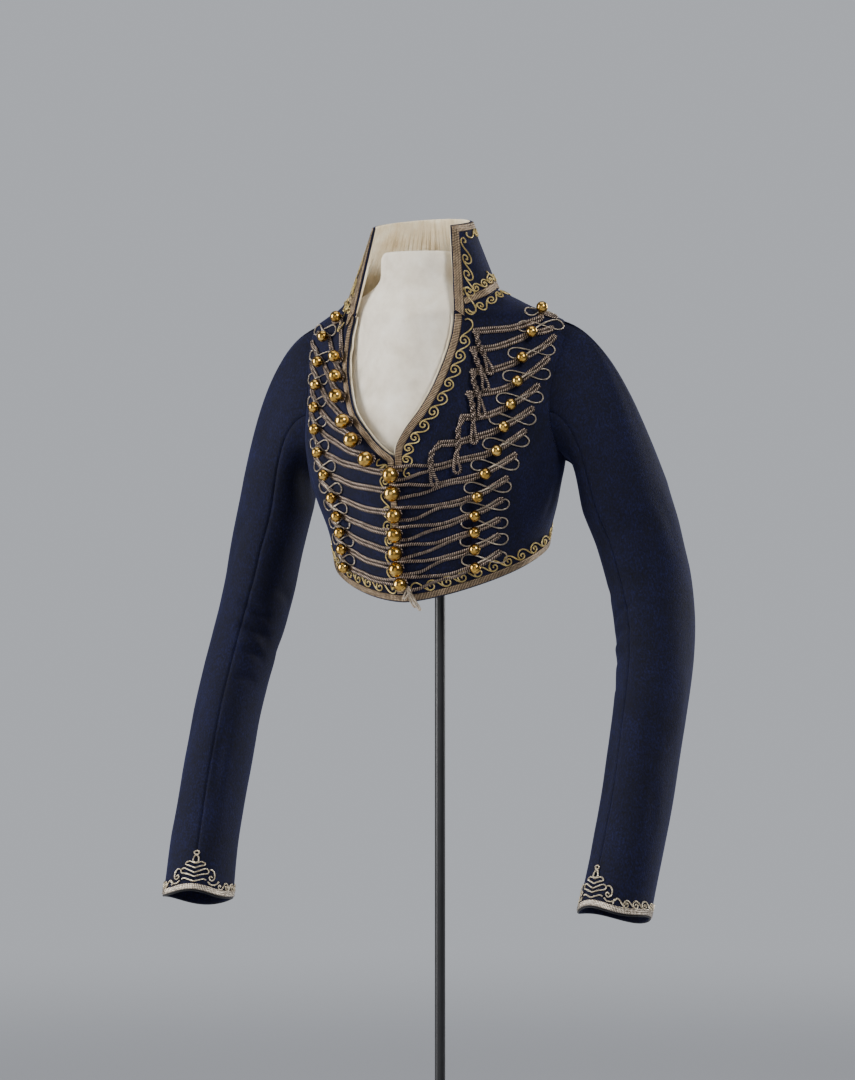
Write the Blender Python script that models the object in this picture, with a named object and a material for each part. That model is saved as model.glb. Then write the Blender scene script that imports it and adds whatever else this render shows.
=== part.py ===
"""A short hussar-style jacket, standing open at the neck, on a limbless dress form with a pole and a base.

Units are metres, +Z is up and the front faces -Y, so the wearer's left side is +X. The origin is the
middle of the base's underside.

The body's outer face is one surface, read from a short table of level rings. An angle of 0 is the
centre front and 90 the wearer's left side. Each panel is a patch of that surface between two edge lines,
with a wall's thickness inside it, and all the braid lies on the same surface, moved out.
"""
import math

import bpy
import bmesh
import numpy as np

MM = 0.001

# Thickness of each material, and the gap between pieces that touch
GAP = 0.35 * MM
CLOTH = 2.0 * MM
LINING = 1.0 * MM
BRAID = 1.1 * MM
BRAID_LIFT = 0.7
CORD_LIFT = 0.8
OVER_BRAID_LIFT = 2.9
LINING_GAP = 1.7 * MM
LINING_EASE = 0.6 * MM

# The body's outer face, hem to neck, in millimetres. Each ring has a half width, the y of its widest
# point, of its front and of its back, and the share by which its corners are drawn in.
BODY_COLUMNS = ("height", "half_width", "y_wide", "y_front", "y_back", "corner")
BODY = np.array([
    (970.0, 119.0, 2.0, -97.0, 90.0, 0.020),
    (1000.0, 123.0, 1.0, -103.0, 94.0, 0.022),
    (1030.0, 128.0, 0.0, -108.0, 99.0, 0.028),
    (1061.0, 135.0, -3.0, -113.0, 102.0, 0.033),
    (1095.0, 147.0, -8.0, -120.0, 105.0, 0.038),
    (1123.0, 155.0, -13.0, -126.0, 107.0, 0.042),
    (1150.0, 160.0, -13.0, -130.0, 108.0, 0.050),
    (1185.0, 165.0, -10.0, -132.0, 108.0, 0.062),
    (1220.0, 168.0, -6.0, -128.0, 106.0, 0.085),
    (1250.0, 168.0, -4.0, -122.0, 100.0, 0.105),
    (1275.0, 165.0, -2.0, -116.0, 92.0, 0.115),
    (1299.0, 156.0, -2.0, -112.0, 80.0, 0.110),
    (1308.0, 139.0, -6.0, -111.0, 70.0, 0.080),
    (1317.0, 118.0, -14.0, -104.0, 56.0, 0.050),
    (1325.0, 104.0, -23.0, -95.0, 42.0, 0.020),
    (1335.0, 86.0, -37.0, -78.0, 23.0, 0.000),
])

# Levels that the panels share, in millimetres above the floor
ARMPIT = 1141.0
SHOULDER_TIP = 1299.0
ARMHOLE_MIDDLE = 0.5 * (ARMPIT + SHOULDER_TIP)
ARMHOLE_HALF = 0.5 * (SHOULDER_TIP - ARMPIT)
NECK = 1335.0
V_BOTTOM = 1143.0

# Hem: its height at the centre front, and how much higher it is at the centre back
HEM_FRONT = 981.0
HEM_RISE = 95.0
HEM_POWER = 0.8

# The fronts meet a little to the wearer's left of the middle, under the ball buttons
CLOSING = 1.5
EDGE_GAP = 0.08

# Neckline: the angle of each front edge at each height, and the right edge stands wider open
NECK_COLUMNS = ("height", "left", "right")
NECKLINE = np.array([
    (1143.0, 1.5, 1.5),
    (1155.0, 2.5, -6.0),
    (1175.0, 7.5, -15.0),
    (1196.0, 14.5, -24.0),
    (1222.0, 21.0, -31.0),
    (1250.0, 26.0, -37.0),
    (1278.0, 29.5, -39.5),
    (1297.0, 31.0, -39.0),
    (1308.0, 32.0, -38.0),
    (1317.0, 43.0, -47.0),
    (1325.0, 57.0, -60.0),
    (1331.0, 72.0, -73.0),
    (1334.2, 86.5, -86.5),
])
COLLAR_START = 1308.0

# Armhole and seams: the angle of the front's outer edge, and of the back's, at each height
ARMHOLE_COLUMNS = ("height", "front", "back")
ARMHOLE = np.array([
    (970.0, 101.0, 101.0),
    (1120.0, 101.0, 101.0),
    (1141.0, 98.0, 98.0),
    (1150.0, 85.0, 112.0),
    (1165.0, 77.0, 120.0),
    (1190.0, 72.0, 125.0),
    (1220.0, 70.5, 125.0),
    (1250.0, 74.0, 120.0),
    (1275.0, 79.5, 111.0),
    (1290.0, 84.5, 102.0),
    (1299.0, 90.0, 90.0),
    (1335.0, 90.0, 90.0),
])
SEAM_ANGLE = 0.08
LOOP_STEP = 18.0

# Sleeve of the wearer's left, in millimetres: the middle of each section, the half widths across the
# arm and along its longer way, which points out and back by the turn
SLEEVE_COLUMNS = ("x", "y", "z", "narrow", "wide", "turn")
SLEEVE = np.array([
    (221.0, 22.0, 1098.0, 44.0, 54.0, 30.0),
    (235.0, 29.0, 1055.0, 43.0, 53.0, 30.0),
    (246.0, 30.0, 1010.0, 42.0, 51.0, 30.0),
    (254.0, 25.0, 970.0, 41.0, 50.0, 28.0),
    (260.0, 14.0, 930.0, 40.0, 48.0, 25.0),
    (264.0, -2.0, 888.0, 39.0, 46.0, 20.0),
    (266.0, -24.0, 838.0, 38.5, 44.5, 15.0),
    (266.0, -48.0, 780.0, 38.5, 43.5, 10.0),
    (264.0, -74.0, 715.0, 38.5, 42.5, 5.0),
    (261.0, -94.0, 665.0, 39.0, 42.0, 0.0),
    (259.0, -105.0, 638.0, 39.5, 42.0, 0.0),
])
SLEEVE_START = np.array([0.96, 0.0, -0.28])
SLEEVE_HEAD_PULL = 0.95
SLEEVE_ARM_PULL = 0.80
FOREARM_SEAM = 108.0
HIND_SEAM = 252.0
SLEEVE_SEAM = 0.22
CUFF_PEAK = 7.0
CUFF_LEVEL = 0.55
CUFF_BRAID_LIFT = 0.9

# Collar: its top ring, in millimetres, and the height of its top at the front and at the back
COLLAR_TOP_HALF_WIDTH = 57.0
COLLAR_TOP_Y = -47.0
COLLAR_TOP_HALF_DEPTH = 50.0
COLLAR_TOP_FRONT = 1402.0
COLLAR_TOP_BACK = 1419.0
COLLAR_TOP_START = 57.0

# Braid widths
EDGE_BRAID_WIDTH = 8.0
HEM_BRAID_WIDTH = 7.0
CUFF_BRAID_WIDTH = 7.0

# Frogging rows, top to bottom, in millimetres and degrees. The outer balls lie at the same angle on
# both sides. The centre ball and the inner end of each bar have their own angles and heights.
FROG_COLUMNS = ("outer_angle", "outer_height", "tip_angle", "tip_height",
                "ball_angle", "ball_height", "left_angle", "left_height")
FROGS = np.array([
    (76.0, 1307.0, 83.0, 1302.0, -41.5, 1257.0, 39.5, 1285.5),
    (61.5, 1284.0, 74.0, 1290.0, -37.0, 1234.0, 38.0, 1264.5),
    (56.5, 1254.0, 74.0, 1281.0, -32.5, 1211.0, 38.0, 1239.5),
    (54.5, 1227.0, 69.0, 1256.0, -24.5, 1184.0, 36.0, 1214.5),
    (52.0, 1201.0, 64.5, 1225.0, -18.5, 1164.0, 33.5, 1188.0),
    (49.5, 1177.0, 62.5, 1199.0, -10.5, 1143.0, 24.0, 1158.5),
    (47.0, 1151.0, 60.0, 1174.0, 1.5, 1126.0, 6.0, 1124.0),
    (42.5, 1126.0, 56.5, 1147.0, 1.5, 1106.0, 6.0, 1104.0),
    (39.5, 1101.0, 53.5, 1121.0, 1.5, 1081.0, 6.0, 1079.0),
    (39.0, 1080.0, 52.0, 1097.0, 1.0, 1059.0, 6.0, 1057.0),
    (39.5, 1061.0, 52.0, 1075.0, 0.5, 1038.0, 6.0, 1036.0),
    (40.0, 1041.5, 53.0, 1057.0, 0.5, 1020.0, 6.0, 1018.0),
    (40.5, 1020.5, 54.5, 1038.0, 2.0, 1003.0, 7.0, 1001.0),
])
# On the wearer's right the two highest rows end nearer the front, because that edge hangs open
RIGHT_SHIFT = {0: -26.0, 1: -5.0}
SHOULDER_ROWS = 2
SHOULDER_LIFT = 0.3
FROG_WIDTH = 8.0
FROG_SAG = 4.0
CORD_EDGE = 1.3
CORD_MIDDLE = 2.4
LOOP_NARROW = 0.55
OUTER_BALL = 6.6
CENTRE_BALLS = (7.0, 7.5, 8.0, 8.6, 9.0, 9.0, 9.2, 9.2, 9.0, 9.0, 8.7, 8.7, 8.0)

# The unfastened button loops of the first six rows on the wearer's left hang from the bars' inner ends.
# Each one has a middle point and an end, as degrees and millimetres from there.
LOOP_DROPS = (
    ((2.5, -27.5), (5.0, -50.5)),
    ((2.5, -23.5), (4.5, -47.5)),
    ((1.5, -26.0), (3.0, -52.5)),
    ((1.5, -22.0), (2.0, -56.0)),
    ((-2.0, -29.5), (-2.5, -62.0)),
    ((-4.5, -20.0), (-2.5, -47.5)),
)
LOOP_LIFT = 3.9

# Below this height the left front's edge lies under the right front's, so it carries no braid
UNDER_OVERLAP = 1120.0

# Dress form: how far it lies inside the cloth, and its flat underside and its neck, in millimetres
FORM_CLEAR_SHOULDER = 3.0
FORM_CLEAR_BODY = 9.0
FORM_BOTTOM = 1090.0
FORM_SIDES = 28
FORM_NECK_TOP = 1378.0
FORM_NECK_HALF_WIDTH = 49.0
FORM_NECK_HALF_DEPTH = 41.0
FORM_NECK_Y = -47.0

POLE_RADIUS = 6.0 * MM
BASE_RADIUS = 190.0 * MM
BASE_HEIGHT = 9.0 * MM
BASE_BEVEL = 1.5 * MM

NAVY = (0.010, 0.014, 0.060)
SILVER_GILT = (0.25, 0.18, 0.12)
GILT = (0.62, 0.40, 0.12)
CREAM = (0.85, 0.76, 0.62)
BLACK = (0.010, 0.010, 0.010)


def clear_scene():
    """Removes every object that the file opened with."""
    for thing in list(bpy.data.objects):
        bpy.data.objects.remove(thing, do_unlink=True)


def material(name, colour, roughness, metallic):
    """A Principled material of one colour, made once for each name."""
    made = bpy.data.materials.get(name) or bpy.data.materials.new(name)
    made.use_nodes = True
    shader = made.node_tree.nodes["Principled BSDF"]
    shader.inputs["Base Color"].default_value = (*colour, 1.0)
    shader.inputs["Roughness"].default_value = roughness
    shader.inputs["Metallic"].default_value = metallic
    return made


def smooth_read(table, column, at):
    """Reads a table's column at any height, as a smooth curve that never overshoots its rows."""
    x = table[:, 0]
    y = table[:, column]
    step = np.diff(x)
    slope = np.diff(y) / step
    tangent = np.zeros(len(x))
    tangent[0], tangent[-1] = slope[0], slope[-1]
    before, after = slope[:-1], slope[1:]
    same = before * after > 0.0
    tangent[1:-1][same] = 2.0 * before[same] * after[same] / (before[same] + after[same])
    at = np.clip(np.asarray(at, float), x[0], x[-1])
    k = np.clip(np.searchsorted(x, at, side="right") - 1, 0, len(x) - 2)
    t = (at - x[k]) / step[k]
    curve = (1 + 2 * t) * (1 - t) ** 2 * y[k] + t * (1 - t) ** 2 * step[k] * tangent[k]
    return curve + t * t * (3 - 2 * t) * y[k + 1] + t * t * (t - 1) * step[k] * tangent[k + 1]


def body_point(angle, height):
    """The body's outer face at an angle in degrees and a height in millimetres, as points in metres."""
    turn = np.radians(np.asarray(angle, float))
    height = np.asarray(height, float) + 0.0 * turn
    turn = turn + 0.0 * height
    half_width, y_wide, y_front, y_back, corner = (smooth_read(BODY, c, height) for c in range(1, 6))
    corner = corner * np.where(np.cos(turn) > 0.0, 1.0, 0.3 + 0.7 * np.abs(np.sin(turn)))
    x = half_width * (np.sin(turn) - corner * np.sin(3 * turn)) / (1 + corner)
    reach = (np.cos(turn) + corner * np.cos(3 * turn)) / (1 + corner)
    y = np.where(np.cos(turn) > 0.0, y_wide + (y_front - y_wide) * reach, y_wide - (y_back - y_wide) * reach)
    return np.stack([x, y, height], axis=-1) * MM


def unit(v):
    return v / np.maximum(np.linalg.norm(v, axis=-1, keepdims=True), 1e-12)


def body_normal(angle, height):
    """The outward direction of the body's face there, from its two slopes."""
    height = np.asarray(height, float)
    low = np.clip(height - 0.8, BODY[0, 0], BODY[-1, 0] - 1.6)
    around = body_point(np.asarray(angle, float) + 0.4, height) - body_point(np.asarray(angle, float) - 0.4, height)
    up = body_point(angle, low + 1.6) - body_point(angle, low)
    return unit(np.cross(around, up))


def hem_height(angle):
    """The hem is lowest at the centre front and rises evenly towards the back."""
    half = np.sin(np.radians(np.asarray(angle, float)) / 2.0) ** 2
    return HEM_FRONT + HEM_RISE * half ** HEM_POWER


def above_hem(angle, level):
    """Turns a level's nominal height into its real one, so that levels below the armpit follow the hem."""
    hem = hem_height(angle)
    share = np.clip((ARMPIT - level) / (ARMPIT - HEM_FRONT), 0.0, 1.0)
    return np.where(level < ARMPIT, ARMPIT - (ARMPIT - hem) * share, level)


def grid_normals(points):
    """Outward directions of a grid of points, whose rows go round and whose columns go up."""
    along = np.gradient(points, axis=0)
    around = np.gradient(points, axis=1)
    return unit(np.cross(around, along))


def make_object(name, verts, faces, finish, smooth=True):
    """A named mesh object from points in metres and faces, with its material."""
    mesh = bpy.data.meshes.new(name)
    mesh.from_pydata([tuple(v) for v in verts], [], faces)
    mesh.update()
    work = bmesh.new()
    work.from_mesh(mesh)
    bmesh.ops.recalc_face_normals(work, faces=work.faces)
    work.to_mesh(mesh)
    work.free()
    if smooth:
        mesh.shade_smooth()
        mesh.set_sharp_from_angle(angle=math.radians(40))
    thing = bpy.data.objects.new(name, mesh)
    bpy.context.scene.collection.objects.link(thing)
    thing.data.materials.append(finish)
    return thing


def shell(name, outer, inner, finish, closed=False):
    """A wall between two grids of the same size. Closed means that its columns go all the way round."""
    rows, cols = outer.shape[:2]
    verts = np.concatenate([outer.reshape(-1, 3), inner.reshape(-1, 3)])
    shift = rows * cols
    faces = []
    span = cols if closed else cols - 1
    for j in range(rows - 1):
        for i in range(span):
            a, b = j * cols + i, j * cols + (i + 1) % cols
            faces.append((a, b, b + cols, a + cols))
            faces.append((a + shift, a + cols + shift, b + cols + shift, b + shift))
    for i in range(span):
        a, b = i, (i + 1) % cols
        top_a, top_b = (rows - 1) * cols + a, (rows - 1) * cols + b
        faces.append((a, a + shift, b + shift, b))
        faces.append((top_a, top_b, top_b + shift, top_a + shift))
    if not closed:
        for j in range(rows - 1):
            a, b = j * cols, j * cols + cols - 1
            faces.append((a, a + cols, a + cols + shift, a + shift))
            faces.append((b, b + shift, b + cols + shift, b + cols))
    return make_object(name, verts, faces, finish)


def body_patch(left, right, levels, columns):
    """Angles and heights of a patch between two edge lines, each given as an angle for a nominal level."""
    share = np.linspace(0.0, 1.0, columns)
    angle = np.array([[left(z) + (right(z) - left(z)) * s for s in share] for z in levels])
    height = np.array([above_hem(row, z) for row, z in zip(angle, levels)])
    return angle, height


def body_wall(name, angle, height, depth, thick, finish):
    """A wall on the body's face: depth is how far inside the face its outer side lies."""
    normal = body_normal(angle, height)
    face = body_point(angle, height)
    return shell(name, face - normal * depth, face - normal * (depth + thick), finish)


def neck_edge(column):
    """The angle of a front's inner edge against height: the closing line, then the neckline."""
    side = 1.0 if column == 1 else -1.0

    def read(level):
        if level <= V_BOTTOM:
            return CLOSING + side * EDGE_GAP
        return float(smooth_read(NECKLINE, column, level)) + side * EDGE_GAP
    return read


def armhole_edge(column, offset):
    def read(level):
        return float(smooth_read(ARMHOLE, column, level)) + offset
    return read


def make_body_panels(finish, lining):
    """Both fronts, the back, and the lining strips that show along the open neckline."""
    turns = np.radians(np.arange(180.0, -1.0, -LOOP_STEP))
    armhole_levels = list(ARMHOLE_MIDDLE + ARMHOLE_HALF * np.cos(turns))
    waist_levels = [981, 1012, 1046, 1080, 1112]
    front_levels = waist_levels + armhole_levels + [1308, 1317, 1325, 1331, 1334.2]
    for side, sign, column in (("left", 1.0, 1), ("right", -1.0, 2)):
        outer_edge = armhole_edge(1, -SEAM_ANGLE)
        angle, height = body_patch(neck_edge(column), lambda z: sign * outer_edge(z), front_levels, 11)
        body_wall("front_" + side, angle, height, 0.0, CLOTH, finish)
        strip_levels = [1150, 1165, 1185, 1205, 1225, 1250, 1275, 1290, 1301]
        strip_edge = neck_edge(column)
        angle, height = body_patch(strip_edge, lambda z: strip_edge(z) + sign * 17.0, strip_levels, 4)
        ease = LINING_EASE * np.clip((height - 1262.0) / 25.0, 0.0, 1.0)[..., None]
        body_wall("front_lining_" + side, angle, height, CLOTH + LINING_GAP + ease, LINING, lining)
    back_edge = armhole_edge(2, SEAM_ANGLE)
    back_levels = waist_levels + armhole_levels + [1308, 1317, 1325, 1331, 1334.2]
    angle, height = body_patch(back_edge, lambda z: 360.0 - back_edge(z), back_levels, 15)
    body_wall("back", angle, height, 0.0, CLOTH, finish)


def armhole_loop(turns):
    """Points of the armhole of the wearer's left, for turns of 0 at the shoulder tip, 90 at the front."""
    height = ARMHOLE_MIDDLE + ARMHOLE_HALF * np.cos(np.radians(turns))
    front = smooth_read(ARMHOLE, 1, height)
    back = smooth_read(ARMHOLE, 2, height)
    return body_point(np.where(np.sin(np.radians(turns)) >= 0.0, front, back), height)


def sleeve_sections(turns, count):
    """Rings of the arm below the head, for turns of 0 at the outside of the arm and 90 at its front."""
    place = np.linspace(0.0, len(SLEEVE) - 1.0, count)
    rows = np.column_stack([np.arange(len(SLEEVE)), SLEEVE])
    read = np.stack([smooth_read(rows, c, place) for c in range(1, 7)], axis=-1)
    middle = read[:, :3] * MM
    way = unit(np.gradient(middle, axis=0))
    rings = []
    for at, down, (narrow, wide, turn) in zip(middle, way, read[:, 3:]):
        out = np.array([1.0, 0.0, 0.0])
        out = unit(out - down * np.dot(out, down))
        forward = np.cross(down, out)
        forward = forward if forward[1] < 0.0 else -forward
        a = np.radians(turns)
        lean = math.radians(turn)
        flat = np.cos(a)[:, None] * out + np.sin(a)[:, None] * forward
        long_way = -math.cos(lean) * forward + math.sin(lean) * out
        short_way = math.sin(lean) * forward + math.cos(lean) * out
        p = flat @ long_way
        q = flat @ short_way
        radius = 1.0 / np.sqrt((p / wide) ** 2 + (q / narrow) ** 2)
        rings.append(at + flat * radius[:, None] * MM)
    return np.array(rings), way


def sleeve_surface(turns, head_rows=6, arm_rows=11):
    """Grid of the sleeve's outer face from the armhole to the cuff, for the wearer's left arm."""
    arm, way = sleeve_sections(turns, arm_rows)
    start = armhole_loop(turns) + unit(SLEEVE_START) * GAP
    first = arm[0]
    gap = np.linalg.norm(first - start, axis=-1, keepdims=True)
    leave = unit(SLEEVE_START) * SLEEVE_HEAD_PULL * gap
    arrive = way[0] * SLEEVE_ARM_PULL * gap
    head = []
    for t in np.linspace(0.0, 1.0, head_rows, endpoint=False):
        h00 = (1 + 2 * t) * (1 - t) ** 2
        h10 = t * (1 - t) ** 2
        h01 = t * t * (3 - 2 * t)
        h11 = t * t * (t - 1)
        head.append(h00 * start + h10 * leave + h01 * first + h11 * arrive)
    grid = np.concatenate([np.array(head), arm])
    peak = CUFF_PEAK * MM * np.exp(-((turns - FOREARM_SEAM) / 38.0) ** 2)
    level = (grid[-1][:, 2] - SLEEVE[-1, 2] * MM) * CUFF_LEVEL / way[-1][2]
    grid[-1] = grid[-1] - way[-1] * (peak + level)[:, None]
    return grid


def mirrored(grid):
    """The same points on the wearer's right, with their columns reversed so that they still face out."""
    return (grid * np.array([-1.0, 1.0, 1.0]))[:, ::-1]


def sleeve_piece_grids(first, last):
    """Outer and inner face of one sleeve piece between two turns that the armhole's points share."""
    turns = np.arange(first, last + 1.0, LOOP_STEP)
    wide = np.concatenate([[first - LOOP_STEP], turns, [last + LOOP_STEP]])
    wide[1] += SLEEVE_SEAM
    wide[-2] -= SLEEVE_SEAM
    grid = sleeve_surface(wide)
    normal = grid_normals(grid)
    return grid[:, 1:-1], (grid - normal * CLOTH)[:, 1:-1]


def make_sleeves(finish):
    """Each sleeve in two pieces: a broad top sleeve and a narrower under sleeve."""
    for part, first, last in (("top", HIND_SEAM - 360.0, FOREARM_SEAM), ("under", FOREARM_SEAM, HIND_SEAM)):
        outer, inner = sleeve_piece_grids(first, last)
        shell("sleeve_" + part + "_left", outer, inner, finish)
        shell("sleeve_" + part + "_right", mirrored(outer), mirrored(inner), finish)


def make_cuff_braids(finish):
    """A flat braid round each cuff, lying on both sleeve pieces."""
    turns = np.arange(0.0, 360.0, LOOP_STEP)
    grid = sleeve_surface(turns)
    edge, above = grid[-1], grid[-2]
    up = unit(above - edge)
    out = unit(edge - edge.mean(axis=0))
    out = unit(out - up * np.sum(out * up, axis=-1, keepdims=True))
    low = edge + up * 0.3 * MM + out * CUFF_BRAID_LIFT * MM
    strip = np.array([low, low + up * CUFF_BRAID_WIDTH * MM])
    raised = strip + out * BRAID
    shell("cuff_braid_left", raised, strip, finish, closed=True)
    shell("cuff_braid_right", mirrored(raised), mirrored(strip), finish, closed=True)


def beside(angle, height, width):
    """Where a point lies that is moved sideways on the body's face, to the right of the path's way."""
    angle = np.asarray(angle, float)
    height = np.asarray(height, float)
    path = body_point(angle, height)
    along = unit(np.gradient(path, axis=0))
    side = np.cross(along, body_normal(angle, height)) * np.asarray(width)[..., None] * MM
    around = (body_point(angle + 0.5, height) - body_point(angle - 0.5, height))
    low = np.minimum(height, BODY[-1, 0] - 1.0)
    up = body_point(angle, low + 1.0) - body_point(angle, low)
    aa = np.sum(around * around, axis=-1)
    uu = np.sum(up * up, axis=-1)
    au = np.sum(around * up, axis=-1)
    sa = np.sum(side * around, axis=-1)
    su = np.sum(side * up, axis=-1)
    det = aa * uu - au * au
    return angle + (sa * uu - su * au) / det, height + (su * aa - sa * au) / det


def strip_on_body(name, angle, height, offsets, tops, lift, finish, taper=None):
    """A flat or domed band along a path on the body: offsets across it, and how high each line rises."""
    taper = np.ones(len(angle)) if taper is None else taper
    lift = np.broadcast_to(np.asarray(lift, float), (len(angle),))
    top, bottom = [], []
    for offset, rise in zip(offsets, tops):
        a, h = beside(angle, height, offset * taper)
        face = body_point(a, h)
        normal = body_normal(a, h)
        top.append(face + normal * (lift * MM + rise * MM)[:, None])
        bottom.append(face + normal * (lift * MM)[:, None])
    return shell(name, np.array(top), np.array(bottom), finish)


def resampled(values, count):
    """A smooth line through a few hand-set values, read at even steps."""
    rows = np.column_stack([np.arange(len(values)), values])
    at = np.linspace(0.0, len(values) - 1.0, count)
    return np.stack([smooth_read(rows, c, at) for c in range(1, rows.shape[1])], axis=-1)


def make_body_braids(finish):
    """The braid up each front edge and neckline, and the braid all round the hem."""
    thick = BRAID / MM
    for side, sign, column in (("left", 1.0, 1), ("right", -1.0, 2)):
        edge = neck_edge(column)
        levels = np.array([991, 1010, 1040, 1070, 1100, 1128, 1143, 1149, 1158, 1170, 1185, 1200, 1215,
                           1230, 1245, 1262, 1278, 1292, 1304], float)
        if side == "left":
            levels = levels[levels > UNDER_OVERLAP]
        angle = np.array([edge(z) for z in levels])
        offsets = (0.3 * sign, EDGE_BRAID_WIDTH * sign)
        strip_on_body("edge_braid_" + side, angle, levels, offsets, (thick, thick), BRAID_LIFT, finish)
    angle = np.linspace(CLOSING + 0.4, 360.0 + CLOSING - 0.4, 49)
    strip_on_body("hem_braid", angle, hem_height(angle) + 0.5, (0.0, -HEM_BRAID_WIDTH), (thick, thick),
                  BRAID_LIFT, finish)


def ball(name, centre, radius, finish):
    """A gilt ball button."""
    mesh = bpy.data.meshes.new(name)
    work = bmesh.new()
    bmesh.ops.create_icosphere(work, subdivisions=2, radius=radius)
    bmesh.ops.translate(work, vec=centre, verts=work.verts)
    work.to_mesh(mesh)
    work.free()
    mesh.shade_smooth()
    thing = bpy.data.objects.new(name, mesh)
    bpy.context.scene.collection.objects.link(thing)
    mesh.materials.append(finish)
    return thing


def union(thing, other):
    """Joins another object to this one as a single closed body."""
    join = thing.modifiers.new("join", "BOOLEAN")
    join.operation = "UNION"
    join.solver = "EXACT"
    join.object = other
    graph = bpy.context.evaluated_depsgraph_get()
    joined = bpy.data.meshes.new_from_object(thing.evaluated_get(graph))
    thing.modifiers.remove(join)
    thing.data = joined
    bpy.data.objects.remove(other, do_unlink=True)


def frog_path(row, side, number):
    """Angles and heights along one frog: its inner end, its bar to the outer ball, and its pointed end."""
    outer, tip, ball_place, left_place = row[0:2], row[2:4], row[4:6], row[6:8]
    if side == "right":
        shift = np.array([RIGHT_SHIFT.get(number, 0.0), 0.0])
        outer, tip = outer + shift, tip + shift
    inner = left_place if side == "left" else ball_place * np.array([-1.0, 1.0])
    sag = np.array([0.0, -FROG_SAG])
    bar = [inner + (outer - inner) * s + sag * 4.0 * s * (1.0 - s) for s in (0.0, 0.33, 0.67, 1.0)]
    drop = []
    if side == "left" and number < len(LOOP_DROPS):
        middle, end = np.array(LOOP_DROPS[number])
        drop = [inner + end, inner + (middle + end) / 2.0, inner + middle]
    return np.array(drop + bar + [(outer + tip) / 2.0, tip]), len(drop)


def make_frogs(cord, gilt):
    """Thirteen frogs a side, each with its outer ball, and the thirteen balls of the centre row."""
    half = 0.5 * FROG_WIDTH
    for number, row in enumerate(FROGS):
        for side, sign in (("left", 1.0), ("right", -1.0)):
            path, dropped = frog_path(row, side, number)
            count = len(path) + 3
            line = resampled(path, count)
            place = np.linspace(0.0, len(path) - 1.0, count)
            taper = np.where(place < dropped - 0.2, LOOP_NARROW, 1.0)
            taper[-1] = 0.35
            taper[-2] = 0.85
            lift = np.where(place < dropped - 0.2, LOOP_LIFT, CORD_LIFT)
            if number < SHOULDER_ROWS:
                lift = lift + SHOULDER_LIFT
            if not dropped:
                taper[0] = 0.6
                lift[:2] = OVER_BRAID_LIFT
            name = "frog_" + side + "_%02d" % (number + 1)
            frog = strip_on_body(name, line[:, 0] * sign, line[:, 1], (-half, 0.0, half),
                                 (CORD_EDGE, CORD_MIDDLE, CORD_EDGE), lift, cord, taper)
            at, high = path[-3] * np.array([sign, 1.0])
            out = body_normal(at, high)
            centre = body_point(at, high) + out * (lift[-3] + CORD_MIDDLE + OUTER_BALL - 1.0) * MM
            union(frog, ball(name + "_ball", centre, OUTER_BALL * MM, gilt))
        radius = CENTRE_BALLS[number]
        out = body_normal(row[4], row[5])
        rise = OVER_BRAID_LIFT + CORD_MIDDLE + GAP / MM + radius
        ball("centre_ball_%02d" % (number + 1), body_point(row[4], row[5]) + out * rise * MM, radius * MM, gilt)


def collar_point(angle, share, lift=0.9):
    """The collar's outer face at an angle round the neck and a share of its height, from seam to top."""
    angle = np.asarray(angle, float)
    share = np.asarray(share, float) + 0.0 * angle
    angle = angle + 0.0 * share
    away = np.abs(((angle + 180.0) % 360.0) - 180.0)
    on_left = angle <= 180.0
    heights = np.linspace(COLLAR_START, NECKLINE[-1, 0], 60)
    seam = np.where(on_left, np.interp(away, smooth_read(NECKLINE, 1, heights), heights),
                    np.interp(away, -smooth_read(NECKLINE, 2, heights), heights))
    seam = np.where(away > 86.0, np.interp(away, (86.0, 90.0), (seam.max(), NECK)), seam)
    base = body_point(angle, seam)
    base[..., 2] += lift * MM
    start = smooth_read(NECKLINE, 1, COLLAR_START)
    turn = np.radians(COLLAR_TOP_START + (180.0 - COLLAR_TOP_START) * (away - start) / (180.0 - start))
    across = np.where(on_left, 1.0, -1.0) * np.sin(turn) * COLLAR_TOP_HALF_WIDTH
    depth = COLLAR_TOP_Y - np.cos(turn) * COLLAR_TOP_HALF_DEPTH
    rise = COLLAR_TOP_FRONT + (COLLAR_TOP_BACK - COLLAR_TOP_FRONT) * 0.5 * (1 - np.cos(turn))
    top = np.stack([across, depth, rise], axis=-1) * MM
    return base + (top - base) * share[..., None]


def collar_strip(name, edge_line, inner_line, finish):
    """A flat braid on the collar between two lines of angles and shares of its height."""
    grid = np.array([collar_point(*edge_line), collar_point(*inner_line)])
    normal = grid_normals(grid)
    middle = np.array([0.0, COLLAR_TOP_Y, 0.0]) * MM
    outward = (grid - middle) * np.array([1.0, 1.0, 0.0])
    normal = normal * np.sign(np.sum(normal * outward, axis=-1, keepdims=True))
    strip = grid + normal * BRAID_LIFT * MM
    shell(name, strip + normal * BRAID, strip, finish)


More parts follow.
